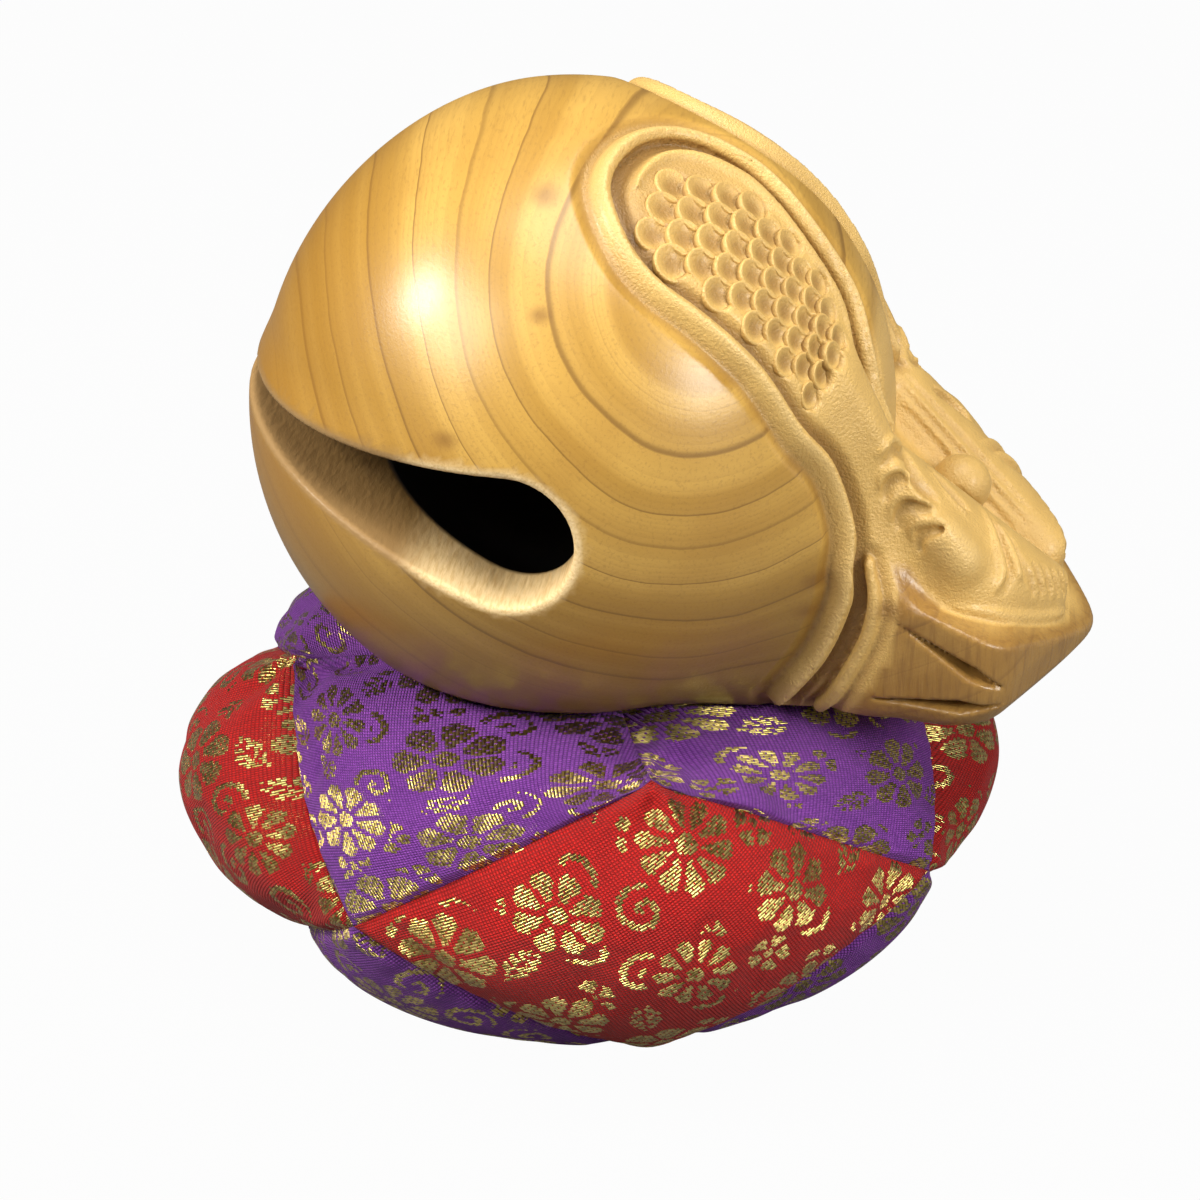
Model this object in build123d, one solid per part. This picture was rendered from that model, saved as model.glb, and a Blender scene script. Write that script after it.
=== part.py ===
"""A mokugyo, the hollow wooden fish that is struck in temples, resting on its round patchwork cushion.

The fish is one carved block: a ball-shaped body hollowed through a wedge-shaped mouth, with a raised
scale panel on each side, a tail plinth behind, two heads on the plinth and a ball between them.
The cushion is a puffed dodecahedron of twelve diamonds sewn edge to edge over a stuffing.

Millimetres. Z is up, the mouth looks along -Y, and the origin is the middle of the cushion's underside.
"""

import os
from math import cos, radians, sin

from build123d import *

# Body of the fish, measured from the middle of its ball
BODY_R = 44.6
BASE_Z = -36.0
BASE_ROUND = 5.0
CAVITY_R = 30.0
CAVITY_HALF_WIDTH = 37.0
CAVITY_Y = 4.0
CAVITY_Z = 3.0

# Mouth: a hole bored from side to side that runs out to the front as a wedge
MOUTH_R = 9.1
MOUTH_Y = -3.4
MOUTH_Z = -1.4
LIP_R = 0.8
LIP_Y = -45.5
LIP_Z = 6.8

# Tail plinth: from above it fans out to two rear corners, with a blunt point between them
PLINTH_FRONT = (10.0, 15.0)
PLINTH_HIP = (22.5, 36.0)
PLINTH_CORNER = (28.6, 59.5)
PLINTH_POINT_Y = 75.5
PLINTH_CORNER_R = 7.0
PLINTH_POINT_R = 8.0
PLINTH_TOP = ((42.7, -13.2), (50.0, -16.8), (62.0, -20.9), (70.0, -26.3), (76.5, -30.8))
PLINTH_FLARE = (30.0, -5.0)
PLINTH_UNDERCUT_Z = -30.5
PLINTH_UNDERCUT_ANGLE = 38.0

# Saw cuts on both cheeks of the plinth: two ends in Y and Z, how wide and how deep
CHEEK_CUTS = (((46.5, -19.0), (61.0, -27.0)), ((43.4, -31.0), (60.5, -29.6)))
CUT_WIDTH = 1.6
CUT_DEPTH = 3.5

# Heads on the plinth: the ridge of one from neck to nose, and its width to each side of that ridge
RIDGE_START = Vector(14.0, 43.7, 3.7)
RIDGE_END = Vector(4.0, 71.0, -21.5)
RIDGE_IN_BODY = 14.0
HEAD_OUTER_WIDTH = 12.5
HEAD_INNER_WIDTH = 6.5
HEAD_HEIGHT = 12.0
HEAD_ROOT = 16.0
LEDGE = 4.5

# Bed between the heads, and the ball that lies on it
BALL_R = 4.2
BALL_Y = 54.0
BALL_Z = -9.7
BALL_SUNK = 0.7
BED_SLOPE = 40.0
BED_HALF_WIDTH = 12.0
BED_HALF_LENGTH = 24.0
BED_LEDGE = 6.0

# Scale panels: the way each one faces, its long way, and its two rounded ends along and across that way
PANEL_FACING = (0.449, 0.558, 0.698)
PANEL_LONG_WAY = (-0.094, 0.806, -0.584)
PANEL_ENDS = ((-5.6, 0.8, 14.6), (15.0, -3.5, 9.5))
ROLL_WIDTH = 3.2
ROLL_RISE = 1.2

# Where the fish sits
FISH_Y = -3.0
FISH_GAP = 0.45

# Cushion, measured from the middle of its waist: radius and height of its points
WAIST_Z = 24.0
CUSHION_TURN = 17.0
SIDE_BULGE = (60.0, 2.0)
VALLEY_R = 57.0
TOP_CORNER = (44.0, 21.0)
PRESSED_CORNER_Z = 17.6
BASE_CORNER = (43.0, -22.3)
DENT_Z = 19.8
PRESSED_CROWN_Z = 18.6
TOP_BULGES = ((41.0, 14.5), (43.0, 17.0), (45.0, 17.8), (44.0, 17.8))
BASE_BULGE = (40.0, -22.2)
BASE_CUT = 0.4
SEAM_PUFF_RATIO = 1.09
COVER_INSIDE_RATIO = 0.945


def both_sides(shape):
    """A shape together with its mirror image on the other side of the fish."""
    return [shape, mirror(shape, about=Plane.YZ)]


def side_prism(face, half_width):
    """A face drawn along Y and Z, run out to both sides."""
    return extrude(face, amount=half_width, both=True)


# Round body with its flat underside
ball = Sphere(BODY_R) - Pos(0, 0, BASE_Z - BODY_R) * Box(4 * BODY_R, 4 * BODY_R, 2 * BODY_R)
body = fillet(ball.edges().filter_by(GeomType.CIRCLE), BASE_ROUND)

# Plinth: its shape from above run upwards, drawn in towards the base, under its sloping top
plan = make_face(
    Polyline(
        (-PLINTH_FRONT[0], PLINTH_FRONT[1]),
        PLINTH_FRONT,
        PLINTH_HIP,
        PLINTH_CORNER,
        (0, PLINTH_POINT_Y),
        (-PLINTH_CORNER[0], PLINTH_CORNER[1]),
        (-PLINTH_HIP[0], PLINTH_HIP[1]),
        close=True,
    )
)
plan = fillet(plan.vertices().sort_by(Axis.Y)[-1:], PLINTH_POINT_R)
corners = [v for v in plan.vertices() if abs(abs(v.X) - PLINTH_CORNER[0]) < 0.01]
plan = fillet(corners, PLINTH_CORNER_R)
side_view = Plane.YZ * make_face(
    Polyline(
        (0, BASE_Z),
        (0, PLINTH_FLARE[1]),
        PLINTH_FLARE,
        *PLINTH_TOP,
        (PLINTH_TOP[-1][0], BASE_Z),
        close=True,
    )
)
foot = extrude(
    Pos(0, 0, PLINTH_UNDERCUT_Z) * plan,
    amount=BASE_Z - PLINTH_UNDERCUT_Z,
    taper=PLINTH_UNDERCUT_ANGLE,
)
plinth = extrude(Pos(0, 0, PLINTH_UNDERCUT_Z) * plan, amount=BODY_R) + foot
plinth &= side_prism(side_view, BODY_R)


def on_plinth(inset):
    """The room above the foot of the plinth, drawn in from its edge."""
    return extrude(Pos(0, 0, PLINTH_UNDERCUT_Z) * offset(plan, amount=-inset), amount=2 * BODY_R)


# Heads, the bed between them and the ball on it
ridge_way = (RIDGE_END - RIDGE_START).normalized()
ridge_out = ridge_way.cross(Vector(0, 0, 1)).normalized()
ridge_plane = Plane(origin=RIDGE_END, x_dir=ridge_out, z_dir=ridge_way * -1)
outer_curve = EllipticalCenterArc((0, -HEAD_HEIGHT), HEAD_OUTER_WIDTH, HEAD_HEIGHT, 0, arc_size=90)
inner_curve = EllipticalCenterArc((0, -HEAD_HEIGHT), HEAD_INNER_WIDTH, HEAD_HEIGHT, 90, arc_size=90)
root = Polyline(
    inner_curve @ 1,
    (-HEAD_INNER_WIDTH, -HEAD_HEIGHT - HEAD_ROOT),
    (HEAD_OUTER_WIDTH, -HEAD_HEIGHT - HEAD_ROOT),
    outer_curve @ 0,
)
head_section = make_face(outer_curve + inner_curve + root)
head_length = (RIDGE_END - RIDGE_START).length + RIDGE_IN_BODY
head = extrude(ridge_plane * head_section, amount=head_length) & on_plinth(LEDGE)
bed = Box(2 * BED_HALF_WIDTH, 2 * BED_HALF_LENGTH, BODY_R, align=(Align.CENTER, Align.CENTER, Align.MAX))
bed = Pos(0, BALL_Y, BALL_Z - BALL_R + BALL_SUNK) * Rot(-BED_SLOPE, 0, 0) * bed & on_plinth(BED_LEDGE)
jewel = Pos(0, BALL_Y, BALL_Z) * Sphere(BALL_R)


def panel_outline(inset):
    """The egg shape of a scale panel, drawn in by the inset."""
    circles = [Pos(along, over) * Circle(radius - inset) for along, over, radius in PANEL_ENDS]
    return make_hull((circles[0] + circles[1]).edges())


# Raised roll round each scale panel
panel_plane = Plane(origin=(0, 0, 0), x_dir=PANEL_LONG_WAY, z_dir=PANEL_FACING)
ring = panel_outline(0) - panel_outline(ROLL_WIDTH)
roll = extrude(panel_plane * ring, amount=2 * BODY_R) & Sphere(BODY_R + ROLL_RISE)
roll -= Sphere(BODY_R - ROLL_RISE)

# Hollow and mouth
hollow_line = EllipticalCenterArc((0, 0), CAVITY_HALF_WIDTH, CAVITY_R, 0, arc_size=180)
hollow_half = make_face(hollow_line + Line(hollow_line @ 1, hollow_line @ 0))
hollow = Pos(0, CAVITY_Y, CAVITY_Z) * revolve(hollow_half, Axis.X)
mouth_ends = Pos(MOUTH_Y, MOUTH_Z) * Circle(MOUTH_R) + Pos(LIP_Y, LIP_Z) * Circle(LIP_R)
mouth = side_prism(Plane.YZ * make_hull(mouth_ends.edges()), 2 * BODY_R)


def cheek_cut(start, end):
    """A saw cut that is widest near its rear end and runs out to a point in front."""
    (y0, z0), (y1, z1) = start, end
    length = ((y1 - y0) ** 2 + (z1 - z0) ** 2) ** 0.5
    across = (-(z1 - z0) / length * CUT_WIDTH / 2, (y1 - y0) / length * CUT_WIDTH / 2)
    wide = (y0 + 0.7 * (y1 - y0), z0 + 0.7 * (z1 - z0))
    upper = (wide[0] + across[0], wide[1] + across[1])
    lower = (wide[0] - across[0], wide[1] - across[1])
    face = make_face(Polyline(start, lower, end, upper, close=True))
    core = extrude(offset(plan, amount=-CUT_DEPTH), amount=BODY_R, both=True)
    return side_prism(Plane.YZ * face, BODY_R) - core


carved = body + plinth + both_sides(head) + bed + jewel + both_sides(roll)
for cut_start, cut_end in CHEEK_CUTS:
    carved -= cheek_cut(cut_start, cut_end)
fish = Pos(0, FISH_Y, WAIST_Z + DENT_Z + FISH_GAP - BASE_Z) * (carved - hollow - mouth)


def at(radius, turn, height):
    """A point of the cushion from its radius, its turn from the first corner and its height."""
    angle = radians(CUSHION_TURN + turn)
    return Vector(radius * cos(angle), radius * sin(angle), height)


def edge_seam(a, b):
    """Control points of a seam down the shoulder: it stays in the plane through the middle."""
    return [a, (a * 2 + b) * (SEAM_PUFF_RATIO / 3), (a + b * 2) * (SEAM_PUFF_RATIO / 3), b]


def flat_seam(middle, corner, height):
    """Control points of a seam from the middle of the top or underside to a corner."""
    out = Vector(corner.X, corner.Y, 0)
    near = Vector(0, 0, middle.Z) + out * 0.62
    return [middle, near, Vector(0, 0, height) + out * 0.86, corner]


def puffed_net(first, last, start, end, bulge):
    """A four by four control net between four seams whose middle passes through the bulge point."""
    net = [[None] * 4 for _ in range(4)]
    for i in range(4):
        for j in range(4):
            u = i / 3
            v = j / 3
            ruled = first[i] * (1 - v) + last[i] * v + start[j] * (1 - u) + end[j] * u
            near = first[0] * ((1 - u) * (1 - v)) + first[3] * (u * (1 - v))
            far = last[0] * ((1 - u) * v) + last[3] * (u * v)
            net[i][j] = ruled - near - far
    weights = (0.125, 0.375, 0.375, 0.125)
    middle = Vector(0, 0, 0)
    for i in range(4):
        for j in range(4):
            middle += net[i][j] * (weights[i] * weights[j])
    push = (bulge - middle) * (1 / 0.5625)
    for i in (1, 2):
        for j in (1, 2):
            net[i][j] += push
    return net


def scaled(net, factor):
    """The same net drawn in towards the middle of the cushion."""
    return [[point * factor for point in row] for row in net]


def cover_piece(net):
    """One diamond of the cover: outer face, inner face and four flat seam faces."""
    inner = scaled(net, COVER_INSIDE_RATIO)
    faces = [Face.make_bezier_surface(net), Face.make_bezier_surface(inner)]
    rims = (
        [row[0] for row in net],
        [row[3] for row in net],
        net[0],
        net[3],
    )
    for rim in rims:
        back = [point * COVER_INSIDE_RATIO for point in rim]
        outline = [
            Edge.make_bezier(*rim),
            Edge.make_line(rim[3], back[3]),
            Edge.make_bezier(*back),
            Edge.make_line(back[0], rim[0]),
        ]
        faces.append(Face(Wire(outline)))
    return Solid(Shell(faces))


# Corner points of the cushion; the second top corner lies under the plinth and is pressed down
top_z = (TOP_CORNER[1], PRESSED_CORNER_Z, TOP_CORNER[1], TOP_CORNER[1])
crown_z = (DENT_Z, PRESSED_CROWN_Z, DENT_Z, DENT_Z)
top_middle = Vector(0, 0, DENT_Z)
base_middle = Vector(0, 0, -WAIST_Z - BASE_CUT)
top_corners = [at(TOP_CORNER[0], 90 * i, top_z[i]) for i in range(4)]
base_corners = [at(BASE_CORNER[0], 90 * i, BASE_CORNER[1]) for i in range(4)]
valleys = [at(VALLEY_R, 90 * i + 45, 0) for i in range(4)]

top_nets = []
side_nets = []
base_nets = []
for i in range(4):
    n = (i + 1) % 4
    p = (i + 3) % 4
    top_nets.append(
        puffed_net(
            flat_seam(top_middle, top_corners[i], crown_z[i]),
            edge_seam(top_corners[n], valleys[i]),
            flat_seam(top_middle, top_corners[n], crown_z[n]),
            edge_seam(top_corners[i], valleys[i]),
            at(TOP_BULGES[i][0], 90 * i + 45, TOP_BULGES[i][1]),
        )
    )
    base_nets.append(
        puffed_net(
            flat_seam(base_middle, base_corners[i], base_middle.Z),
            edge_seam(base_corners[n], valleys[i]),
            flat_seam(base_middle, base_corners[n], base_middle.Z),
            edge_seam(base_corners[i], valleys[i]),
            at(BASE_BULGE[0], 90 * i + 45, BASE_BULGE[1]),
        )
    )
    side_nets.append(
        puffed_net(
            edge_seam(top_corners[i], valleys[i]),
            edge_seam(valleys[p], base_corners[i]),
            edge_seam(top_corners[i], valleys[p]),
            edge_seam(valleys[i], base_corners[i]),
            at(SIDE_BULGE[0], 90 * i, SIDE_BULGE[1]),
        )
    )

nets = {}
for i in range(4):
    nets[f"top_patch_{i + 1}"] = top_nets[i]
    nets[f"side_patch_{i + 1}"] = side_nets[i]
    nets[f"base_patch_{i + 1}"] = base_nets[i]

stuffing_faces = [Face.make_bezier_surface(scaled(net, COVER_INSIDE_RATIO)) for net in nets.values()]
stuffing = Solid(Shell(stuffing_faces))

pieces = {"wooden_fish": fish, "cushion_stuffing": Pos(0, 0, WAIST_Z) * stuffing}
floor_cut = Pos(0, 0, -WAIST_Z) * Box(4 * WAIST_Z + 4 * VALLEY_R, 4 * WAIST_Z + 4 * VALLEY_R, 2 * WAIST_Z)
for name, net in nets.items():
    piece = Pos(0, 0, WAIST_Z) * cover_piece(net)
    if name.startswith("base"):
        piece -= floor_cut
    pieces[name] = piece

os.makedirs("parts", exist_ok=True)
for name, shape in pieces.items():
    export_step(shape, f"parts/{name}.step")
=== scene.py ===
"""Finish of a mokugyo: a carved wooden fish that rests on a puffed cushion of red and purple brocade.

Shapes are worked out in millimetres and written into the meshes in metres. The fish is measured from
the middle of its ball, the cushion from the middle of its waist.
"""

import math

import bmesh
import bpy
import numpy as np
import openvdb
from mathutils import Matrix, Vector


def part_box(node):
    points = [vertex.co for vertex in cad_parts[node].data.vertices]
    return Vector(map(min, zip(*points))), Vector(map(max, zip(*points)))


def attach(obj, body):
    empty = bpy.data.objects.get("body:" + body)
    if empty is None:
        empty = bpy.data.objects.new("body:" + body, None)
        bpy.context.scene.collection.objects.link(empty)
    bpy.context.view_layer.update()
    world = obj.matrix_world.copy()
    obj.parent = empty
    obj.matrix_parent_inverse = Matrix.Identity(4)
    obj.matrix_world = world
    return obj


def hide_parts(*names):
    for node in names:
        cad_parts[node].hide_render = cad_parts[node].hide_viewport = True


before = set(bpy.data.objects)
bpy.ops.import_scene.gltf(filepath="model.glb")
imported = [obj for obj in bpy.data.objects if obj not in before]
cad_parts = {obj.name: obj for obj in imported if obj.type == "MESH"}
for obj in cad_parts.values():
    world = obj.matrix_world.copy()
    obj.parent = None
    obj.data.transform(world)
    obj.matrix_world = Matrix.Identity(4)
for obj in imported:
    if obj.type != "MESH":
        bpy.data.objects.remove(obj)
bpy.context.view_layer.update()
MM = 0.001

# Body of the fish
BODY_R = 44.6
BASE_DEPTH = 36.0
BASE_ROUND = 5.0
JAW_STEP = 1.6
JAW_FRONT = (6.0, 40.0)
JAW_RISE = (4.0, 14.0)
HOLLOW_HALF = (37.0, 30.0, 30.0)
HOLLOW_MIDDLE = (0.0, 4.0, 3.0)
MOUTH_MIDDLE = (-3.4, -1.4)
MOUTH_R = 9.1
LIP_MIDDLE = (-45.5, 6.8)
LIP_R = 0.8
# Up to where the walls of the mouth are raw wood, how near them, and where the chamber begins
MOUTH_WALL_END = 14.0
MOUTH_WALL_FADE = (1.6, 0.7)
CHAMBER_RIM = 0.8
EDGE_SOFT = 1.0
FOOT_SOFT = 1.0

# Tail plinth: a fan that widens to two rear corners, with a blunt point between them
PLINTH_FRONT = 22.0
PLINTH_CORNER = (28.6, 59.5)
PLINTH_WIDENS = 0.26
PLINTH_END = 75.5
PLINTH_POINT_R = 5.0
PLINTH_CORNER_SOFT = 5.0
# Share of the undercut that the sides take
PLINTH_SIDE_UNDERCUT = 0.4
PLINTH_TOP = ((30.0, -5.0), (42.7, -13.2), (50.0, -16.8), (62.0, -20.9), (70.0, -26.3), (76.0, -30.5))
PLINTH_TOP_LEAN = 0.88
# How round the top edge is, from the neck to the rear
PLINTH_EDGE = ((42.0, 7.0), (50.0, 0.8))
PLINTH_UNDERCUT = ((-36.0, 6.0), (-33.0, 2.5), (-30.0, 0.5), (-26.0, 0.0))
FLARE = 11.0
LEDGE = ((58.0, 4.5), (68.0, 2.2))
CHEEK_CUTS = (((46.5, -19.0), (61.0, -27.0)), ((43.4, -31.0), (60.5, -29.6)))
CUT_HALF_WIDTH = 1.15
CUT_DEPTH = 3.5
CUT_TIP = 0.1
CUT_WIDEST = 0.7
CUT_EDGE = 0.2

# Two heads on the plinth, nose to nose, the bed between them and the ball on it
RIDGE_START = np.array((14.0, 43.7, 3.7))
RIDGE_END = np.array((4.0, 71.0, -21.5))
RIDGE_LENGTH = np.linalg.norm(RIDGE_END - RIDGE_START)
RIDGE_WAY = (RIDGE_END - RIDGE_START) / RIDGE_LENGTH
RIDGE_OUT = np.cross(RIDGE_WAY, (0, 0, 1)) / np.linalg.norm(np.cross(RIDGE_WAY, (0, 0, 1)))
RIDGE_UP = np.cross(RIDGE_OUT, RIDGE_WAY)
HEAD_OUTER_WIDTH = 12.5
HEAD_INNER_WIDTH = 6.5
HEAD_HEIGHT = 12.0
HEAD_BACK = 14.0
HEAD_SIDE_SOFT = 1.5
NOSE_SOFT = 4.0
HEADS_FOOT = -30.0
# How softly the heads grow out of the neck on their outer sides, and out of the plinth elsewhere
HEAD_SOFT = (9.0, 0.8)
NECK_REACH = (54.0, 42.0)
NECK_SIDE = (10.0, 18.0)
BED_TOP = (54.0, -13.2)
BED_SLOPE = 0.85
BED_HALF_WIDTH = 12.0
BED_BACK = 8.0
BED_INSET = 1.5
BED_SOFT = 2.0
BALL_MIDDLE = (54.0, -9.7)
BALL_R = 4.2
BALL_SOFT = 0.5

# Scale panels on both sides of the crest
PANEL_FACING = np.array((0.449, 0.558, 0.698))
PANEL_LONG_WAY = np.array((-0.094, 0.806, -0.584))
PANEL_ACROSS = np.cross(PANEL_FACING, PANEL_LONG_WAY)
PANEL_MIDDLE = (-0.4, -0.21)
PANEL_REACH = 36.0
# How far the round tip of a panel lies below the ball
TIP_SINK = 0.7
TIP_FADES = ((-4.0, 2.0), (4.0, -14.0))

# Scales overlap like roof tiles: each is a shallow round dish, tilted up at its free end
SCALE_BED = 1.2
SCALE_SINK = 0.25
SCALE_R = 2.6
SCALE_TILT = 0.16
SCALE_ROW = 3.5
SCALE_STEP = 4.3
SCALE_NARROWS = 0.011
SCALE_SMALLEST = 0.88
# Where the scales begin inside the crest of the roll, on the lower and the upper side
SCALE_MARGINS = (1.2, 3.6)
SCALE_MARGIN_FADES = ((-7.0, 1.0), (-17.0, -9.0))
# Where along the panel a scale has its full size, the rows begin and end, and the last whole row slants
SCALE_FULL = -6.0
SCALE_FIRST = -15.2
SCALE_END = 26.0
SCALE_LAST = 17.5
SCALE_LAST_SLANT = 0.25
# How far inside the edge of a scale its bed begins and reaches its depth
SCALE_BED_EDGE = (0.3, 0.8)
SCALE_TURNS = 32
SCALE_SIZES = (0.96, 1.04)
SCALE_SEED = 11
# Share of the way from the middle of a scale to its edge, and height there
DISH = (
    (0.0, -0.6),
    (0.3, -0.54),
    (0.55, -0.36),
    (0.72, -0.14),
    (0.83, 0.04),
    (0.91, 0.1),
    (0.97, 0.04),
    (1.0, -0.1),
)

# Step of the field that gives the fish its shape, how near the surface it is carved, and faces kept
VOXEL = 0.42
CARVING_REACH = 3.0
FISH_FACES = 190000
fish_low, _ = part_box("wooden_fish")
FISH_MIDDLE = np.array((0, fish_low.y / MM + BODY_R, fish_low.z / MM + BASE_DEPTH))


def smoothstep(low, high, value):
    t = np.clip((value - low) / (high - low), 0, 1)
    return t * t * (3 - 2 * t)


def join(a, b, soft):
    """Two distance fields as one, with a hollow fillet where they meet."""
    share = np.clip(0.5 + 0.5 * (b - a) / soft, 0, 1)
    return b + (a - b) * share - soft * share * (1 - share)


def keep(a, b, soft):
    """What two distance fields have in common, with a rounded edge."""
    return -join(-a, -b, soft)


def cut(a, b, soft):
    """The first distance field without the second."""
    return keep(a, -b, soft)


def two_circles(along, across, start, start_r, end, end_r):
    """Distance to the outline that wraps two circles in a plane."""
    run = math.dist(start, end)
    way = ((end[0] - start[0]) / run, (end[1] - start[1]) / run)
    far = (along - start[0]) * way[0] + (across - start[1]) * way[1]
    side = np.abs((across - start[1]) * way[0] - (along - start[0]) * way[1])
    lean = (start_r - end_r) / run
    rise = math.sqrt(1 - lean * lean)
    place = rise * far - lean * side
    gap = side * rise + far * lean - start_r
    gap = np.where(place < 0, np.hypot(side, far) - start_r, gap)
    return np.where(place > rise * run, np.hypot(side, far - run) - end_r, gap)


def body_field(x, y, z):
    """The ball on its flat foot, with the upper jaw a step behind the lower one."""
    front = smoothstep(*JAW_FRONT, -y)
    upper = smoothstep(*JAW_RISE, z)
    ball = np.sqrt(x * x + y * y + z * z) - (BODY_R - JAW_STEP * front * upper)
    return keep(ball, -BASE_DEPTH - z, BASE_ROUND)


def plan_field(x, y, z):
    """The plinth seen from above, drawn in towards the base."""
    corner_x, corner_y = PLINTH_CORNER
    inset = np.interp(z, *np.transpose(PLINTH_UNDERCUT))
    side = (x - corner_x - PLINTH_WIDENS * (y - corner_y)) / math.hypot(1, PLINTH_WIDENS)
    way = np.array((PLINTH_END - corner_y, corner_x)) / math.dist(PLINTH_CORNER, (0, PLINTH_END))
    blunt = np.sqrt(x * x + PLINTH_POINT_R**2) - 0.5 * PLINTH_POINT_R
    rear = blunt * way[0] + (y - PLINTH_END) * way[1] + inset
    return keep(side + PLINTH_SIDE_UNDERCUT * inset, rear, PLINTH_CORNER_SOFT)


def plinth_field(y, z, plan):
    """The block under the heads, with a top that falls away to the rear."""
    top = (z - np.interp(y, *np.transpose(PLINTH_TOP))) * PLINTH_TOP_LEAN
    block = keep(plan, top, np.interp(y, *np.transpose(PLINTH_EDGE)))
    block = keep(block, -BASE_DEPTH - z, BASE_ROUND)
    return np.maximum(block, PLINTH_FRONT - y)


def ridge_frame(x, y, z):
    """How far along the ridge of a head a point lies, how far above it and how far outside it."""
    offset = (x - RIDGE_START[0], y - RIDGE_START[1], z - RIDGE_START[2])
    return [sum(o * w for o, w in zip(offset, way)) for way in (RIDGE_WAY, RIDGE_UP, RIDGE_OUT)]


def ledge_width(y):
    """Width of the strip round the heads, less behind the noses."""
    return np.interp(y, *np.transpose(LEDGE))


def heads_field(x, y, z, plan):
    """One head, half of the bed and half of the ball."""
    on_plinth = plan + ledge_width(y)
    along, above, out = ridge_frame(x, y, z)
    half = np.where(out > 0, HEAD_OUTER_WIDTH, HEAD_INNER_WIDTH)
    lift = np.maximum(above + HEAD_HEIGHT, 0) / HEAD_HEIGHT
    head = (np.sqrt((out / half) ** 2 + lift**2) - 1) * (HEAD_INNER_WIDTH + 2)
    head = keep(keep(head, along - RIDGE_LENGTH, NOSE_SOFT), on_plinth, HEAD_SIDE_SOFT)
    head = np.maximum(head, -along - HEAD_BACK)
    bed = (z - BED_TOP[1] + BED_SLOPE * (y - BED_TOP[0])) / math.hypot(1, BED_SLOPE)
    bed = keep(keep(bed, x - BED_HALF_WIDTH, 1), on_plinth + BED_INSET, BED_SOFT)
    bed = np.maximum(bed, RIDGE_START[1] - BED_BACK - y)
    ball = np.sqrt(x * x + (y - BALL_MIDDLE[0]) ** 2 + (z - BALL_MIDDLE[1]) ** 2) - BALL_R
    return np.maximum(join(join(head, bed, BED_SOFT), ball, BALL_SOFT), HEADS_FOOT - z)


def hollow_field(x, y, z):
    """The sound chamber."""
    parts = [((v - m) / h) ** 2 for v, m, h in zip((x, y, z), HOLLOW_MIDDLE, HOLLOW_HALF)]
    return (np.sqrt(sum(parts)) - 1) * min(HOLLOW_HALF)


def mouth_field(y, z):
    """The slit from cheek to cheek, round at its inner end and narrow at the lip."""
    return two_circles(y, z, MOUTH_MIDDLE, MOUTH_R, LIP_MIDDLE, LIP_R)


def cheek_cut_field(y, z, plan, start, end):
    """A cut in the cheek of the plinth, widest towards its rear end, that narrows to an edge inside."""
    wide = tuple(a + CUT_WIDEST * (b - a) for a, b in zip(start, end))
    slit = np.minimum(
        two_circles(y, z, start, CUT_TIP, wide, CUT_HALF_WIDTH),
        two_circles(y, z, wide, CUT_HALF_WIDTH, end, CUT_TIP),
    )
    return slit + CUT_HALF_WIDTH * np.clip(-plan / CUT_DEPTH, 0, 2)


def block_field(x, y, z):
    """The near half of the fish before its fine carving."""
    plan = plan_field(x, y, z)
    solid = join(body_field(x, y, z), plinth_field(y, z, plan), FLARE)
    solid = keep(solid, -BASE_DEPTH - z, FOOT_SOFT)
    on_neck, elsewhere = HEAD_SOFT
    soft = elsewhere + (on_neck - elsewhere) * smoothstep(*NECK_REACH, y) * smoothstep(*NECK_SIDE, x)
    solid = join(solid, heads_field(x, y, z, plan), soft)
    solid = cut(solid, hollow_field(x, y, z), EDGE_SOFT)
    solid = cut(solid, mouth_field(y, z), EDGE_SOFT)
    for start, end in CHEEK_CUTS:
        solid = cut(solid, cheek_cut_field(y, z, plan, start, end), CUT_EDGE)
    return solid


def panel_point(along, across):
    """A point on the ball from its place on a scale panel."""
    depth = math.sqrt(BODY_R**2 - along**2 - across**2)
    return along * PANEL_LONG_WAY + across * PANEL_ACROSS + depth * PANEL_FACING


def panel_place(points):
    """Along and across a scale panel, for points near the ball."""
    onto = points * (BODY_R / np.maximum(np.linalg.norm(points, axis=1), 1))[:, None]
    facing = onto @ PANEL_FACING
    return onto @ PANEL_LONG_WAY, onto @ PANEL_ACROSS, facing


def smooth_path(points, per_span=8):
    """A smooth line that passes through each of the points."""
    p = np.array(points, float)
    p = np.vstack((2 * p[0] - p[1], p, 2 * p[-1] - p[-2]))
    t = np.linspace(0, 1, per_span, endpoint=False)[:, None]
    spans = []
    for a, b, c, d in zip(p, p[1:], p[2:], p[3:]):
        bend, twist = 2 * a - 5 * b + 4 * c - d, 3 * b - a - 3 * c + d
        spans.append(0.5 * (2 * b + (c - a) * t + bend * t**2 + twist * t**3))
    return np.vstack(spans + [p[-2:-1]])


# Crest of the roll round a scale panel, along and across it, from the neck round the tip and back
ROLL_UPPER = (
    (30.0, -3.0),
    (26.2, 0.8),
    (22.2, 3.8),
    (17.4, 7.8),
    (9.3, 10.9),
    (-0.1, 14.8),
    (-4.9, 15.4),
    (-9.9, 14.9),
    (-14.1, 12.9),
)
ROLL_LOWER = (
    (-17.4, 9.0),
    (-19.1, 3.0),
    (-18.2, -2.4),
    (-13.6, -8.4),
    (-8.3, -11.4),
    (-2.0, -12.4),
    (8.2, -13.4),
    (17.6, -14.8),
)
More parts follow.
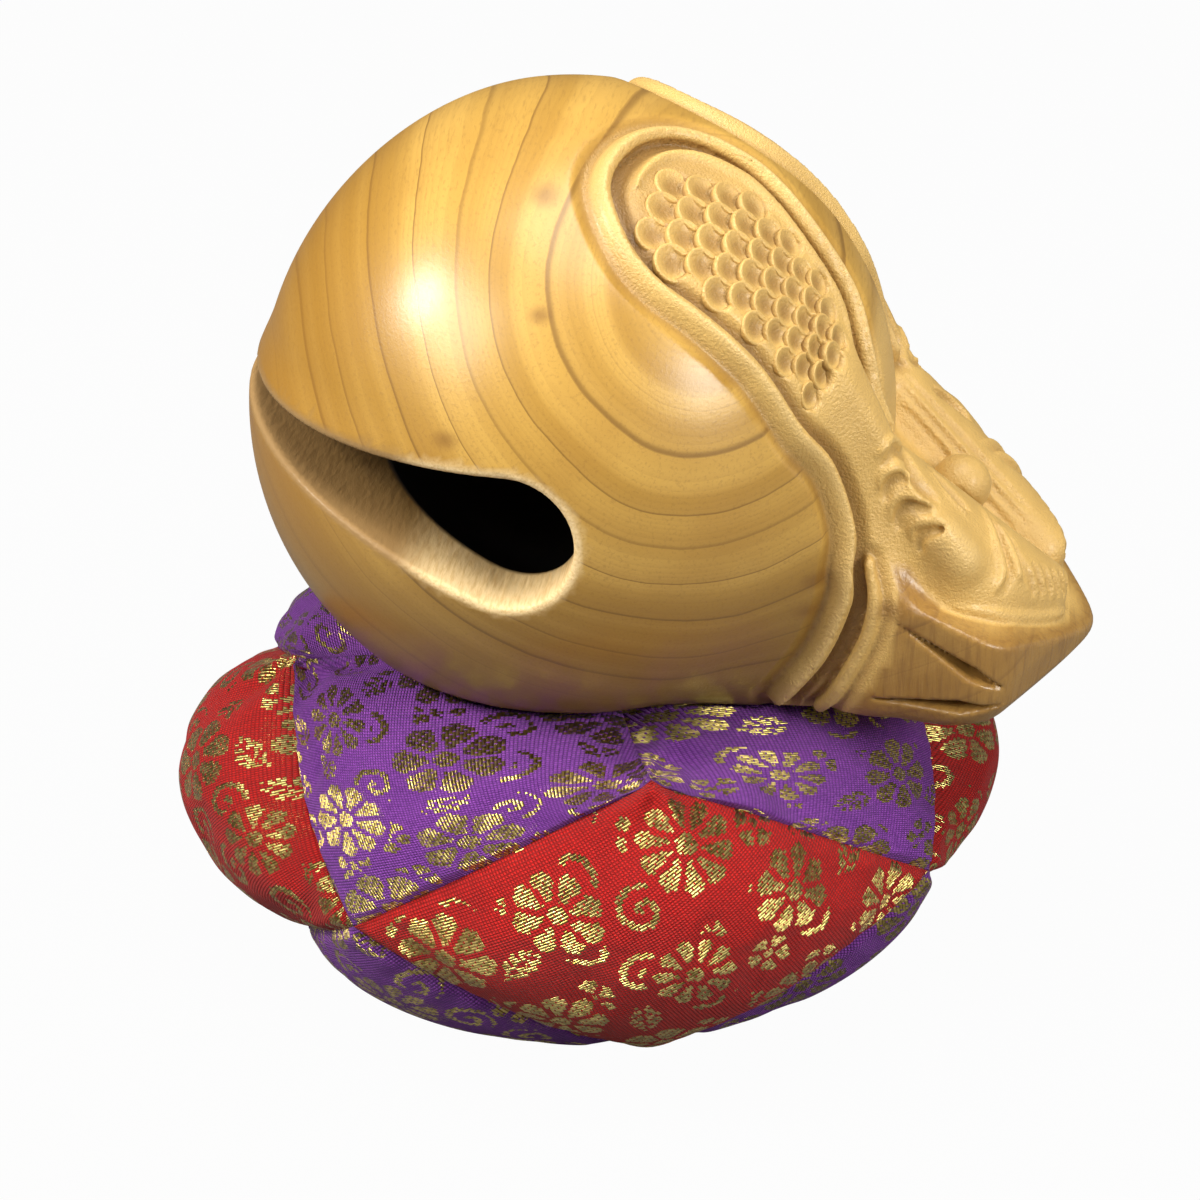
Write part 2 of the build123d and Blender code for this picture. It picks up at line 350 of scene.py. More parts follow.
# From there the roll runs down the neck to the base
ROLL_TAIL = (
    (25.3, 36.5, 4.1),
    (23.2, 38.1, -2.0),
    (22.8, 39.1, -7.4),
    (24.3, 39.7, -11.7),
    (23.9, 39.6, -16.5),
    (22.9, 36.8, -24.9),
    (20.5, 31.7, -32.8),
)
SECOND_ROLL = (
    (22.5, 41.6, -11.5),
    (24.2, 42.8, -14.4),
    (24.3, 43.1, -18.0),
    (24.0, 42.0, -23.0),
    (22.5, 38.4, -31.2),
    (20.5, 36.5, -34.0),
)
# Distance from a line, to its left as it is drawn, and height there; each profile is level at its knots
ROLL_PROFILE = ((-5.0, 0.0), (-3.1, -0.8), (-0.2, 1.5), (1.5, -1.3), (3.0, 0.0), (14.0, 0.0))
SECOND_PROFILE = ((-2.6, 0.0), (-1.6, -1.2), (0.0, 1.2), (1.7, -0.6), (3.2, 0.0))
BROWS = (
    ((19.1, 41.8, 3.3), (18.4, 43.0, 4.4), (17.2, 44.7, 3.3), (17.5, 45.5, 2.5)),
    ((19.6, 42.6, -1.6), (19.7, 43.2, 0.6), (19.6, 44.6, 1.3), (19.5, 45.9, 0.7)),
    ((20.1, 44.8, -5.9), (20.2, 44.9, -3.5), (20.4, 46.4, -2.2), (20.4, 48.0, -2.5), (20.6, 48.9, -3.8)),
    ((21.0, 48.1, -8.7), (20.9, 47.7, -6.8), (20.9, 49.0, -5.6), (20.7, 50.7, -5.3), (20.4, 51.6, -5.7)),
)
EARS = (
    ((15.6, 46.1, 2.0), (19.1, 48.0, -0.5), (18.9, 50.9, -3.5)),
    ((13.5, 49.6, -1.4), (15.0, 52.6, -4.0), (15.1, 55.1, -6.5)),
)
FOLDS = (
    ((10.9, 56.7, -7.9), (15.4, 58.8, -10.4), (17.9, 59.8, -13.8), (19.9, 58.9, -16.0)),
    ((11.5, 58.8, -9.3), (13.3, 60.3, -11.3), (15.7, 61.6, -14.8), (15.9, 61.9, -16.3)),
)
# Where a brow is cut under, the rim of an ear stands and a fold is grooved, from the line itself
UNDER_BROW = (0.3, 1.1, -1.5)
EAR_RIM = (0.9, -0.9, -0.9)
FOLD_GROOVE = (-0.5, 1.5, -0.6)
SNOUT = ((20.9, 52.2, -8.0), (21.1, 54.8, -10.6))
FIRST_WHISKER = ((13.8, 62.7, -14.4), (14.4, 63.6, -16.8), (14.1, 63.4, -19.2))
LAST_WHISKER = ((5.0, 69.6, -20.6), (5.0, 70.3, -22.0), (4.6, 70.6, -23.4))
WHISKERS = 7
LIP = (
    (21.9, 53.0, -17.0),
    (20.6, 58.6, -18.8),
    (17.4, 62.1, -20.9),
    (11.7, 65.9, -23.2),
    (5.0, 70.6, -25.2),
)
# Lines along the inner slope of a head: how far outside the ridge, where they start and where they end
RAYS = ((-1.4, 3.0, 29.0), (-3.4, 4.0, 31.0), (-5.2, 5.0, 30.0))
RAY_DROP = 0.35
# Half width and height of each kind of carved line
LINES = {
    "inner roll": (1.5, 0.9),
    "snout": (5.0, 1.0),
    "brow": (0.9, 1.3),
    "under brow": (1.3, -1.2),
    "ear": (1.7, -2.2),
    "ear rim": (0.8, 0.9),
    "fold": (1.0, 1.3),
    "fold groove": (0.9, -1.2),
    "whisker": (0.75, -1.8),
    "lip": (1.2, 1.0),
    "ray": (0.8, -1.1),
}
# Lines taper to a share of their width, and those that reach further than BROAD are whole forms
TAPER_END = 0.25
TAPER_POWER = 0.6
BROAD = 4.0
# Where the wood begins to be worked with small tools: by the roll, on the neck and on the heads
WORKED_EDGE = (-3.4, -2.8)
WORKED_NECK = ((-13.0, -11.0), (4.5, 3.5))
WORKED_HEADS = (40.5, 42.0)

BORDER = ROLL_UPPER + ROLL_LOWER
INNER_ROLL_INSET = 3.4
INNER_ROLL_END = len(ROLL_UPPER) + 3


def panel_line(inset, first=0, last=len(BORDER)):
    """Points on the ball along the border of a panel, moved in towards its middle."""
    places = np.array(BORDER)
    way = np.gradient(places, axis=0)
    way /= np.linalg.norm(way, axis=1)[:, None]
    places = places + inset * np.stack((-way[:, 1], way[:, 0]), 1)
    return [panel_point(*place) for place in places[first:last]]


def border_depth(along, across):
    """How far inside the roll of a panel a place lies, less than nothing outside it."""
    path = smooth_path(BORDER, 4)
    best = np.full(np.shape(along), 99.0)
    inside = np.zeros(np.shape(along), bool)
    for (a, c), (b, d) in zip(path, np.roll(path, -1, axis=0)):
        run = np.hypot(b - a, d - c)
        part = np.clip(((along - a) * (b - a) + (across - c) * (d - c)) / run**2, 0, 1)
        best = np.minimum(best, np.hypot(along - a - part * (b - a), across - c - part * (d - c)))
        crosses = (c > across) != (d > across)
        lean = (b - a) / (d - c if abs(d - c) > 1e-9 else 1e-9)
        inside ^= crosses & (along < a + (across - c) * lean)
    return np.where(inside, best, -best)


def bead(kind):
    """Profile of a plain rounded line."""
    half_width, height = LINES[kind]
    return ((-half_width, 0.0), (0.0, height), (half_width, 0.0))


def profile_height(knots, distance):
    """Height of a profile at distances from its line."""
    places, heights = np.transpose(knots)
    k = np.clip(np.searchsorted(places, distance) - 1, 0, len(places) - 2)
    part = smoothstep(places[k], places[k + 1], distance)
    return heights[k] + (heights[k + 1] - heights[k]) * part


def scale_margin(along, across):
    """How far inside the roll the scales begin, more on the upper side where an inner roll lies."""
    sideways, lengthways = SCALE_MARGIN_FADES
    upper = smoothstep(*sideways, across) * smoothstep(*lengthways, along)
    return SCALE_MARGINS[0] + (SCALE_MARGINS[1] - SCALE_MARGINS[0]) * upper


def scale_spots():
    """Along, across and size of each scale of a panel, in rows that are set off by half a step."""
    spots = []
    row = 0
    along = SCALE_FIRST
    while along < SCALE_END:
        size = 1 - SCALE_NARROWS * (along - SCALE_FULL)
        middle = PANEL_MIDDLE[0] + PANEL_MIDDLE[1] * along
        for k in range(-5, 6):
            across = middle + (k + 0.5 * (row % 2)) * SCALE_STEP * size
            room = float(border_depth(along, across) - scale_margin(along, across)) / SCALE_R
            if room > SCALE_SMALLEST * size and along + SCALE_LAST_SLANT * across < SCALE_LAST:
                spots.append((along, across, min(size, room)))
        along += SCALE_ROW * size
        row += 1
    return spots


def carving_strokes():
    """Every line of the carving: its path, its profile and whether its ends taper."""
    strokes = [
        (panel_line(0) + list(ROLL_TAIL), ROLL_PROFILE, False),
        (panel_line(INNER_ROLL_INSET, 2, INNER_ROLL_END), bead("inner roll"), True),
        (SECOND_ROLL, SECOND_PROFILE, False),
        (SNOUT, bead("snout"), False),
    ]
    for brow in BROWS:
        strokes.append((brow, bead("brow"), True))
        strokes.append((np.array(brow) + UNDER_BROW, bead("under brow"), True))
    for ear in EARS:
        strokes.append((ear, bead("ear"), True))
        strokes.append((np.array(ear) + EAR_RIM, bead("ear rim"), True))
    for fold in FOLDS:
        strokes.append((fold, bead("fold"), True))
        strokes.append((np.array(fold) + FOLD_GROOVE, bead("fold groove"), True))
    for share in np.linspace(0, 1, WHISKERS):
        whisker = (1 - share) * np.array(FIRST_WHISKER) + share * np.array(LAST_WHISKER)
        strokes.append((whisker, bead("whisker"), True))
    strokes.append((LIP, bead("lip"), True))
    for out, start, end in RAYS:
        places = np.linspace(start, end, 4)[:, None]
        ray = RIDGE_START + places * RIDGE_WAY + out * RIDGE_OUT
        ray = ray - RAY_DROP * out**2 / HEAD_INNER_WIDTH * RIDGE_UP
        strokes.append((ray, bead("ray"), True))
    return strokes


class Grid:
    """A distance field sampled on the near half of the fish."""

    def __init__(self):
        self.low = np.array((0.0, -BODY_R - 2, -BASE_DEPTH - 2))
        high = np.array((BODY_R + 3, PLINTH_END + 2, BODY_R + 3))
        count = np.ceil((high - self.low) / VOXEL).astype(int)
        axes = [(low + VOXEL * np.arange(n)).astype(np.float32) for low, n in zip(self.low, count)]
        self.axes = axes
        self.field = block_field(axes[0][:, None, None], axes[1][None, :, None], axes[2][None, None, :])
        self.field = np.ascontiguousarray(self.field, np.float32)

    def sample(self, points, field=None):
        """The field at points, between its samples."""
        field = self.field if field is None else field
        place = (points - self.low) / VOXEL
        place = np.clip(place, 0, np.array(field.shape) - 1.001)
        corner = place.astype(int)
        part = place - corner
        total = 0
        for dx, dy, dz in np.ndindex(2, 2, 2):
            share = np.abs(1 - dx - part[:, 0]) * np.abs(1 - dy - part[:, 1])
            share = share * np.abs(1 - dz - part[:, 2])
            total = total + share * field[corner[:, 0] + dx, corner[:, 1] + dy, corner[:, 2] + dz]
        return total

    def facing(self, points):
        """Which way the surface faces near points."""
        step = VOXEL * np.eye(3)
        slope = np.stack([self.sample(points + s) - self.sample(points - s) for s in step], 1)
        return slope / np.maximum(np.linalg.norm(slope, axis=1), 1e-6)[:, None]

    def onto_surface(self, points):
        """Points moved square to the surface until they lie on it."""
        points = np.array(points, float)
        for _ in range(6):
            points = points - self.facing(points) * self.sample(points)[:, None]
            points[:, 0] = np.maximum(points[:, 0], 0)
        return points


def from_line(points, line, facing):
    """How far points lie from a line, less than nothing to its right, and the share of it passed there."""
    best = np.full(len(points), 99.0)
    share = np.zeros(len(points))
    for k, (start, end) in enumerate(zip(line, line[1:])):
        run = end - start
        part = np.clip((points - start) @ run / max(run @ run, 1e-6), 0, 1)
        offset = points - start - part[:, None] * run
        gap = np.linalg.norm(offset, axis=1)
        left = np.where(offset @ np.cross(facing[k], run) < 0, -1, 1)
        nearer = gap < np.abs(best)
        best[nearer] = (gap * left)[nearer]
        share[nearer] = (k + part[nearer]) / (len(line) - 1)
    return best, share


def carve(grid):
    """Carves the fine lines into the field, and gives masks of the worked wood and of its height."""
    field = grid.field
    near = np.nonzero(np.abs(field) < CARVING_REACH)
    points = np.stack([axis[i] for axis, i in zip(grid.axes, near)], 1)
    outer = hollow_field(*points.T) > CARVING_REACH
    rise = np.zeros(len(points))

    along, across, facing = panel_place(points)
    depth = np.full(len(points), -99.0)
    close = np.nonzero((facing > 0) & outer & (np.hypot(along, across) < PANEL_REACH))[0]
    depth[close] = border_depth(along[close], across[close])
    rim, floor = (SCALE_R - inset for inset in SCALE_BED_EDGE)
    for spot_along, spot_across, size in scale_spots():
        gap = np.hypot(along[close] - spot_along, across[close] - spot_across) / size
        bed = -SCALE_BED * smoothstep(rim, floor, gap)
        rise[close] = np.minimum(rise[close], bed)
    in_border, at_tip = TIP_FADES
    rise -= TIP_SINK * smoothstep(*in_border, depth) * smoothstep(*at_tip, along) * outer
    worked = smoothstep(*WORKED_EDGE, depth)
    off_ledge = plan_field(*points.T) + ledge_width(points[:, 1])
    on_heads = smoothstep(*WORKED_HEADS, points[:, 1]) * smoothstep(1.0, 0.0, off_ledge)
    worked = np.maximum(worked, on_heads)

    for path, profile, tapers in carving_strokes():
        line = grid.onto_surface(smooth_path(path))
        last = profile[-1][0]
        reach = max(-profile[0][0], last)
        inside = np.all((points > line.min(0) - reach) & (points < line.max(0) + reach), axis=1)
        close = np.nonzero(inside & outer)[0]
        if not len(close):
            continue
        gap, share = from_line(points[close], line, grid.facing(line))
        width = 1.0
        if tapers:
            middle = np.sin(np.pi * np.clip(share, 0, 1)) ** TAPER_POWER
            width = TAPER_END + (1 - TAPER_END) * middle
        rise[close] += np.sqrt(width) * profile_height(profile, gap / width)
        if reach < BROAD:
            worked[close] = np.maximum(worked[close], smoothstep(reach + 0.6, reach, np.abs(gap)))
        else:
            neck = smoothstep(*WORKED_EDGE, gap) * smoothstep(last, last - 1, gap)
            upper, beside = WORKED_NECK
            neck *= np.maximum(smoothstep(*upper, points[close, 2]), smoothstep(*beside, gap))
            worked[close] = np.maximum(worked[close], neck)
    field[near] -= rise
    masks = {"worked": np.zeros_like(field), "relief": np.zeros_like(field)}
    masks["worked"][near] = worked
    masks["relief"][near] = rise
    return masks


def mesh_object(name, points, faces, material):
    """A mesh object at the origin from points in metres."""
    mesh = bpy.data.meshes.new(name)
    mesh.from_pydata(points, [], faces)
    mesh.validate()
    mesh.shade_smooth()
    mesh.materials.append(material)
    made = bpy.data.objects.new(name, mesh)
    bpy.context.scene.collection.objects.link(made)
    return made


def plain_mesh(made):
    """Turns an object's modifiers into plain mesh."""
    graph = bpy.context.evaluated_depsgraph_get()
    result = bpy.data.meshes.new_from_object(made.evaluated_get(graph))
    made.modifiers.clear()
    old = made.data
    made.data = result
    bpy.data.meshes.remove(old)
    return made


def add_attribute(made, name, values):
    """Keeps one number for each point."""
    store = made.data.attributes.new(name, "FLOAT", "POINT")
    store.data.foreach_set("value", np.asarray(values, np.float32))


def add_vectors(made, name, values):
    """Keeps three numbers for each point."""
    store = made.data.attributes.new(name, "FLOAT_VECTOR", "POINT")
    store.data.foreach_set("vector", np.asarray(values, np.float32).ravel())


def vertex_array(mesh):
    """Where the points of a mesh are."""
    points = np.zeros(len(mesh.vertices) * 3, np.float32)
    mesh.vertices.foreach_get("co", points)
    return points.reshape(-1, 3)


def carved_fish(material):
    """The whole block of wood: the near half of the field, mirrored and drawn as a surface."""
    grid = Grid()
    masks = carve(grid)
    both = np.concatenate((grid.field[:0:-1], grid.field), axis=0)
    volume = openvdb.FloatGrid()
    volume.copyFromArray(np.ascontiguousarray(both))
    points, triangles, quads = volume.convertToPolygons(0.0, 0.0)
    start = np.array((-grid.axes[0][-1], grid.low[1], grid.low[2]))
    local = points * VOXEL + start
    faces = [list(face[::-1]) for face in quads] + [list(face[::-1]) for face in triangles]
    fish = mesh_object("carved_fish", ((local + FISH_MIDDLE) * MM).tolist(), faces, material)
    thin = fish.modifiers.new("thin", "DECIMATE")
    thin.ratio = min(1.0, FISH_FACES / (2 * len(quads) + len(triangles)))
    plain_mesh(fish)
    fish.data.shade_smooth()
    local = vertex_array(fish.data) / MM - FISH_MIDDLE
    half = np.abs(local * (1, 0, 0)) + local * (0, 1, 1)
    for name, mask in masks.items():
        add_attribute(fish, name, grid.sample(half, mask))
    inside = smoothstep(1.0, -1.0, hollow_field(*half.T) - CHAMBER_RIM)
    from_mouth = np.abs(mouth_field(half[:, 1], half[:, 2]))
    wall = smoothstep(*MOUTH_WALL_FADE, from_mouth) * (half[:, 1] < MOUTH_WALL_END)
    add_attribute(fish, "inside", inside)
    add_attribute(fish, "mouth_wall", wall * (1 - inside))
    return fish, grid


class Wiring:
    """Lays nodes into a tree and links them."""

    def __init__(self, tree):
        self.tree = tree

    def put(self, socket, value):
        if isinstance(value, bpy.types.NodeSocket):
            self.tree.links.new(value, socket)
        else:
            socket.default_value = value

    def node(self, kind, inputs=None, **settings):
        made = self.tree.nodes.new(kind)
        for name, value in settings.items():
            setattr(made, name, value)
        for key, value in (inputs or {}).items():
            self.put(made.inputs[key], value)
        return made

    def math(self, operation, *values):
        return self.node("ShaderNodeMath", dict(enumerate(values)), operation=operation).outputs[0]

    def chain(self, operation, values):
        total = values[0]
        for value in values[1:]:
            total = self.math(operation, total, value)
        return total

    def times(self, *values):
        return self.chain("MULTIPLY", values)

    def plus(self, *values):
        return self.chain("ADD", values)

    def minus(self, *values):
        return self.chain("SUBTRACT", values)

    def over(self, value, divisor):
        return self.math("DIVIDE", value, divisor)

    def most(self, a, b):
        return self.math("MAXIMUM", a, b)

    def above(self, value, limit):
        return self.math("GREATER_THAN", value, limit)

    def below(self, value, limit):
        return self.math("LESS_THAN", value, limit)

    def vector(self, operation, *values):
        made = self.node("ShaderNodeVectorMath", dict(enumerate(values)), operation=operation)
        return made.outputs["Value" if operation == "LENGTH" else "Vector"]

    def scaled(self, vector, factor):
        made = self.node("ShaderNodeVectorMath", {0: vector, "Scale": factor}, operation="SCALE")
        return made.outputs["Vector"]

    def split(self, vector):
        return self.node("ShaderNodeSeparateXYZ", {0: vector}).outputs[:]

    def build(self, x, y, z=0.0):
        return self.node("ShaderNodeCombineXYZ", {0: x, 1: y, 2: z}).outputs[0]

    def step(self, value, low, high):
        """Goes smoothly from 0 at the low value to 1 at the high one."""
        inputs = {"Value": value, "From Min": low, "From Max": high}
        return self.node("ShaderNodeMapRange", inputs, interpolation_type="SMOOTHSTEP").outputs[0]

    def span(self, value, low, high):
        """Takes 0 to 1 over to low to high."""
        return self.node("ShaderNodeMapRange", {"Value": value, "To Min": low, "To Max": high}).outputs[0]

    def mix(self, share, a, b):
        return self.node("ShaderNodeMix", {0: share, 6: a, 7: b}, data_type="RGBA").outputs[2]

    def noise(self, vector, scale, detail=2.0, rough=0.5):
        inputs = {"Vector": vector, "Scale": scale, "Detail": detail, "Roughness": rough}
        return self.node("ShaderNodeTexNoise", inputs).outputs[0]

    def chance(self, vector):
        """One random number and three more for each whole-number place."""
        made = self.node("ShaderNodeTexWhiteNoise", {"Vector": vector}, noise_dimensions="3D")
        return made.outputs["Value"], self.split(made.outputs["Color"])

    def group(self, tree, *values):
        made = self.node("ShaderNodeGroup", node_tree=tree)
        for socket, value in zip(made.inputs, values):
            self.put(socket, value)
        return made.outputs[:]

    def attribute(self, name, output="Fac"):
        return self.node("ShaderNodeAttribute", attribute_name=name).outputs[output]


SOCKETS = {"f": "NodeSocketFloat", "v": "NodeSocketVector"}


def shader_group(name, inputs, outputs):
    """An empty shader group with named sockets; each is a number, f, or a vector, v."""
    tree = bpy.data.node_groups.new(name, "ShaderNodeTree")
    for label, kind in inputs.items():
        tree.interface.new_socket(label, in_out="INPUT", socket_type=SOCKETS[kind])
    for label, kind in outputs.items():
        tree.interface.new_socket(label, in_out="OUTPUT", socket_type=SOCKETS[kind])
    w = Wiring(tree)
    return tree, w, w.node("NodeGroupInput").outputs, w.node("NodeGroupOutput").inputs


def finished_material(name):
    """A material with only its shader and output, and the wiring for the rest."""
    material = bpy.data.materials.new(name)
    material.use_nodes = True
    shader = material.node_tree.nodes["Principled BSDF"]
    return material, Wiring(material.node_tree), shader


# Wood: the log's middle runs from side to side, a little tilted, so its rings show on both cheeks
RING_MIDDLE = (30.0, 21.5, 29.5)
RING_TILT = 0.15
RING_STEP = 5.6
THIN_RINGS = 6.0
# Places of the dark knots and their sizes
FLECKS = (
    ((23.2, -0.4, 38.1), 1.3),
    ((35.6, 0.6, 26.8), 1.0),
    ((41.6, -10.7, 11.9), 1.2),
    ((25.6, 35.7, -12.4), 1.5),
    ((24.8, 34.6, -17.5), 1.4),
    ((24.9, 45.4, -17.3), 1.6),
    ((41.4, -12.6, -7.8), 1.5),
)
FLECK_STRETCH = (0.4, 1.0, 1.5)
FLECK_R = 2.2
LIGHT_BAND = (0.56, 0.335, 0.075, 1)
DARK_BAND = (0.41, 0.225, 0.038, 1)
CLOUD_TINT = (0.40, 0.215, 0.042, 1)
PORE_TINT = (0.25, 0.13, 0.03, 1)
RING_SHADE = (0.27, 0.135, 0.03, 1)
RING_LINE = (0.13, 0.06, 0.014, 1)
FRONT_TINT = (0.29, 0.135, 0.015, 1)
# Painted shade for the lower body, where it faces down
LOW_PAINTED_SHADE = (0.15, 0.095, 0.03, 1)
SAWN_TINT = (0.25, 0.13, 0.04, 1)
SAWN_STREAK = (0.22, 0.11, 0.03, 1)
# Worked wood: paler in itself, and lifted further as painted light
WORKED_TINT_AND_PAINTED_LIGHT = (0.70, 0.47, 0.165, 1)
FLECK_TINT = (0.17, 0.07, 0.014, 1)
# Painted shade in the carved hollows
GROOVE_PAINTED_SHADE = (0.20, 0.09, 0.018, 1)
# Painted light on the raised crests
CREST_PAINTED_LIGHT = (0.80, 0.58, 0.26, 1)
RAW_LIGHT = (0.80, 0.60, 0.32, 1)
RAW_DARK = (0.66, 0.45, 0.20, 1)
# Painted shadow of the upper lip on the mouth wall
LIP_PAINTED_SHADOW = (0.30, 0.175, 0.06, 1)
# Painted shade in the closed sound chamber
CHAMBER_PAINTED_SHADE = (0.008, 0.005, 0.002, 1)


def growth_rings():
    """Dark lines of the rings, the shade that grows towards each line, and broad bands of colour."""
    outputs = {"Line": "f", "Shade": "f", "Band": "f"}
    tree, w, given, gives = shader_group("growth_rings", {"Place": "v"}, outputs)
    x, y, z = w.split(given["Place"])
    sway = w.times(w.minus(w.noise(given["Place"], 0.022, 1.0), 0.5), 7.0)
    fine = w.times(w.minus(w.noise(given["Place"], 0.10, 2.0), 0.5), 0.7)
    lean = w.times(w.minus(x, RING_MIDDLE[0]), RING_TILT)
    from_y = w.minus(y, RING_MIDDLE[1], lean)
    from_z = w.minus(z, RING_MIDDLE[2], lean)
    radius = w.plus(w.vector("LENGTH", w.build(from_y, from_z)), sway, fine)
    uneven = w.noise(w.build(radius, 0.0, 0.0), 0.09, 1.0)
    turn = w.plus(w.over(radius, RING_STEP), w.times(uneven, 2.2))
    part = w.math("FRACT", turn)
    strength = w.chance(w.build(w.math("FLOOR", turn), 3.0, 0.0))[0]
    strength = w.times(w.span(strength, 0.3, 1.0), w.step(radius, 12.0, 19.0))
    line = w.times(w.step(part, 0.92, 0.975), w.step(part, 1.0, 0.985))
    w.put(gives["Line"], w.times(line, strength))
    shade = w.times(w.math("POWER", part, 3.0), strength)
    thin = w.math("POWER", w.math("FRACT", w.times(turn, THIN_RINGS)), 2.0)
    w.put(gives["Shade"], w.plus(shade, w.times(thin, 0.45)))
    w.put(gives["Band"], w.noise(w.build(radius, 7.0, 0.0), 0.2, 2.0))
    return tree


def fleck_marks():
    """Small dark knots, alike on both sides."""
    tree, w, given, gives = shader_group("fleck_marks", {"Place": "v"}, {"Mark": "f"})
    x, y, z = w.split(given["Place"])
    near = w.build(w.math("ABSOLUTE", x), y, z)
    total = 0.0
    for place, size in FLECKS:
        offset = w.vector("MULTIPLY", w.vector("SUBTRACT", near, place), FLECK_STRETCH)
        total = w.most(w.step(w.vector("LENGTH", offset), FLECK_R * size, 0.0), total)
    w.put(gives["Mark"], total)
    return tree


def wood_material():
    """Oiled wood with rings, pores and knots, paler where small tools worked it and raw in the mouth;
    painted shade darkens its lower body, grooves, mouth wall and chamber, and painted light brightens
    crests and worked wood.
    """
    material, w, shader = finished_material("carved_wood")
    place = w.node("ShaderNodeTexCoord").outputs["Object"]
    place = w.scaled(w.vector("SUBTRACT", place, tuple(FISH_MIDDLE * MM)), 1 / MM)
    _, y, z = w.split(place)
    line, shade, band = w.group(growth_rings(), place)
    mark = w.group(fleck_marks(), place)[0]
    pores = w.noise(w.vector("MULTIPLY", place, (0.12, 1.0, 1.0)), 2.6, 3.0, 0.6)
    streaks = w.noise(w.vector("MULTIPLY", place, (1.0, 1.0, 0.08)), 1.3, 3.0, 0.6)
    cloud = w.noise(place, 0.06, 3.0)
    relief = w.attribute("relief")
    worked = w.attribute("worked")
    wall = w.attribute("mouth_wall")
    inside = w.attribute("inside")
    smooth = w.span(worked, 1.0, 0.15)

    # Darker towards the bottom, away from the plinth: painted shade
    low = w.times(w.step(z, 0.0, -34.0), w.step(y, 46.0, 34.0))
    sawn = w.times(w.step(y, 40.0, 46.0), w.minus(1.0, worked))
    colour = w.mix(w.step(band, 0.35, 0.7), LIGHT_BAND, DARK_BAND)
    tints = (
        (w.step(cloud, 0.45, 0.75), 0.5, CLOUD_TINT),
        (w.step(pores, 0.5, 0.72), 0.34, PORE_TINT),
        (w.times(shade, smooth), 0.35, RING_SHADE),
        (w.times(line, smooth), 0.6, RING_LINE),
        (w.step(y, -14.0, -40.0), 0.75, FRONT_TINT),
        (low, 0.75, LOW_PAINTED_SHADE),
        (sawn, 0.6, SAWN_TINT),
        (w.times(sawn, w.step(streaks, 0.45, 0.65)), 0.5, SAWN_STREAK),
        # Worked wood is paler, and partly brightened as painted light
        (worked, 0.6, WORKED_TINT_AND_PAINTED_LIGHT),
        (mark, 0.6, FLECK_TINT),
        # Painted shade in the grooves, from the carving's depth
        (w.step(relief, 0.0, -1.3), 0.75, GROOVE_PAINTED_SHADE),
        # Painted light on the crests, from the carving's height
        (w.step(relief, 0.2, 1.4), 0.5, CREST_PAINTED_LIGHT),
    )
    for mask, strength, tint in tints:
        colour = w.mix(w.times(mask, strength), colour, tint)
    raw = w.mix(w.step(pores, 0.4, 0.7), RAW_LIGHT, RAW_DARK)
    # The raw wall darkens towards the lip as a painted shadow of the upper lip
    raw = w.mix(w.step(y, -12.0, -19.0), raw, LIP_PAINTED_SHADOW)
    colour = w.mix(wall, colour, raw)
    # The chamber is painted near black as painted shade
    colour = w.mix(inside, colour, CHAMBER_PAINTED_SHADE)
    w.put(shader.inputs["Base Color"], colour)

    rough = w.span(worked, 0.34, 0.46)
    rough = w.plus(rough, w.span(pores, -0.05, 0.06))
    rough = w.most(rough, w.times(w.most(wall, inside), 0.75))
    w.put(shader.inputs["Roughness"], rough)
    shader.inputs["Specular IOR Level"].default_value = 0.5
    shader.inputs["Coat Weight"].default_value = 0.15
    shader.inputs["Coat Roughness"].default_value = 0.22

    stipple = w.times(w.noise(place, 2.6, 2.0, 0.6), w.times(worked, 0.8))
    grain = w.times(pores, 0.08)
    splinters = w.noise(w.vector("MULTIPLY", place, (0.3, 1.0, 1.0)), 1.2, 3.0)
    chips = w.times(splinters, w.times(wall, 0.5))
    tool_marks = w.times(streaks, sawn, 0.5)
    height = w.plus(w.plus(stipple, grain), w.plus(chips, tool_marks))
    bump = w.node("ShaderNodeBump", {"Strength": 0.55, "Distance": 0.0005, "Height": height})
    w.put(shader.inputs["Normal"], bump.outputs[0])
    return material


def scale_tile(material):
    """One round scale with a dish in it, raised at its free end, and a skirt down into the wood."""
    turns = np.linspace(0, 2 * math.pi, SCALE_TURNS, endpoint=False)
    points, relief = [(0.0, 0.0, DISH[0][1])], [DISH[0][1]]
    for share, height in DISH[1:]:
        for turn in turns:
            x, y = SCALE_R * share * math.sin(turn), SCALE_R * share * math.cos(turn)
            points.append((x, y, height + SCALE_TILT * y))
            relief.append(height)
    n = SCALE_TURNS
    points += [(x * 1.01, y * 1.01, -SCALE_BED) for x, y, _ in points[-n:]]
    relief += [-1.0] * n
    faces = [(0, 1 + (k + 1) % n, 1 + k) for k in range(n)]
    for ring in range(len(DISH) - 1):
        a = 1 + ring * n
        faces += [(a + k, a + (k + 1) % n, a + n + (k + 1) % n, a + n + k) for k in range(n)]
    tile = mesh_object("scale_tile", (np.array(points) * MM).tolist(), faces, material)
    # This relief later darkens the dish and skirt as painted shade and lightens the rim as painted light
    add_attribute(tile, "relief", 2.0 * np.array(relief) + 0.2)
    add_attribute(tile, "worked", np.ones(len(points)))
    return tile


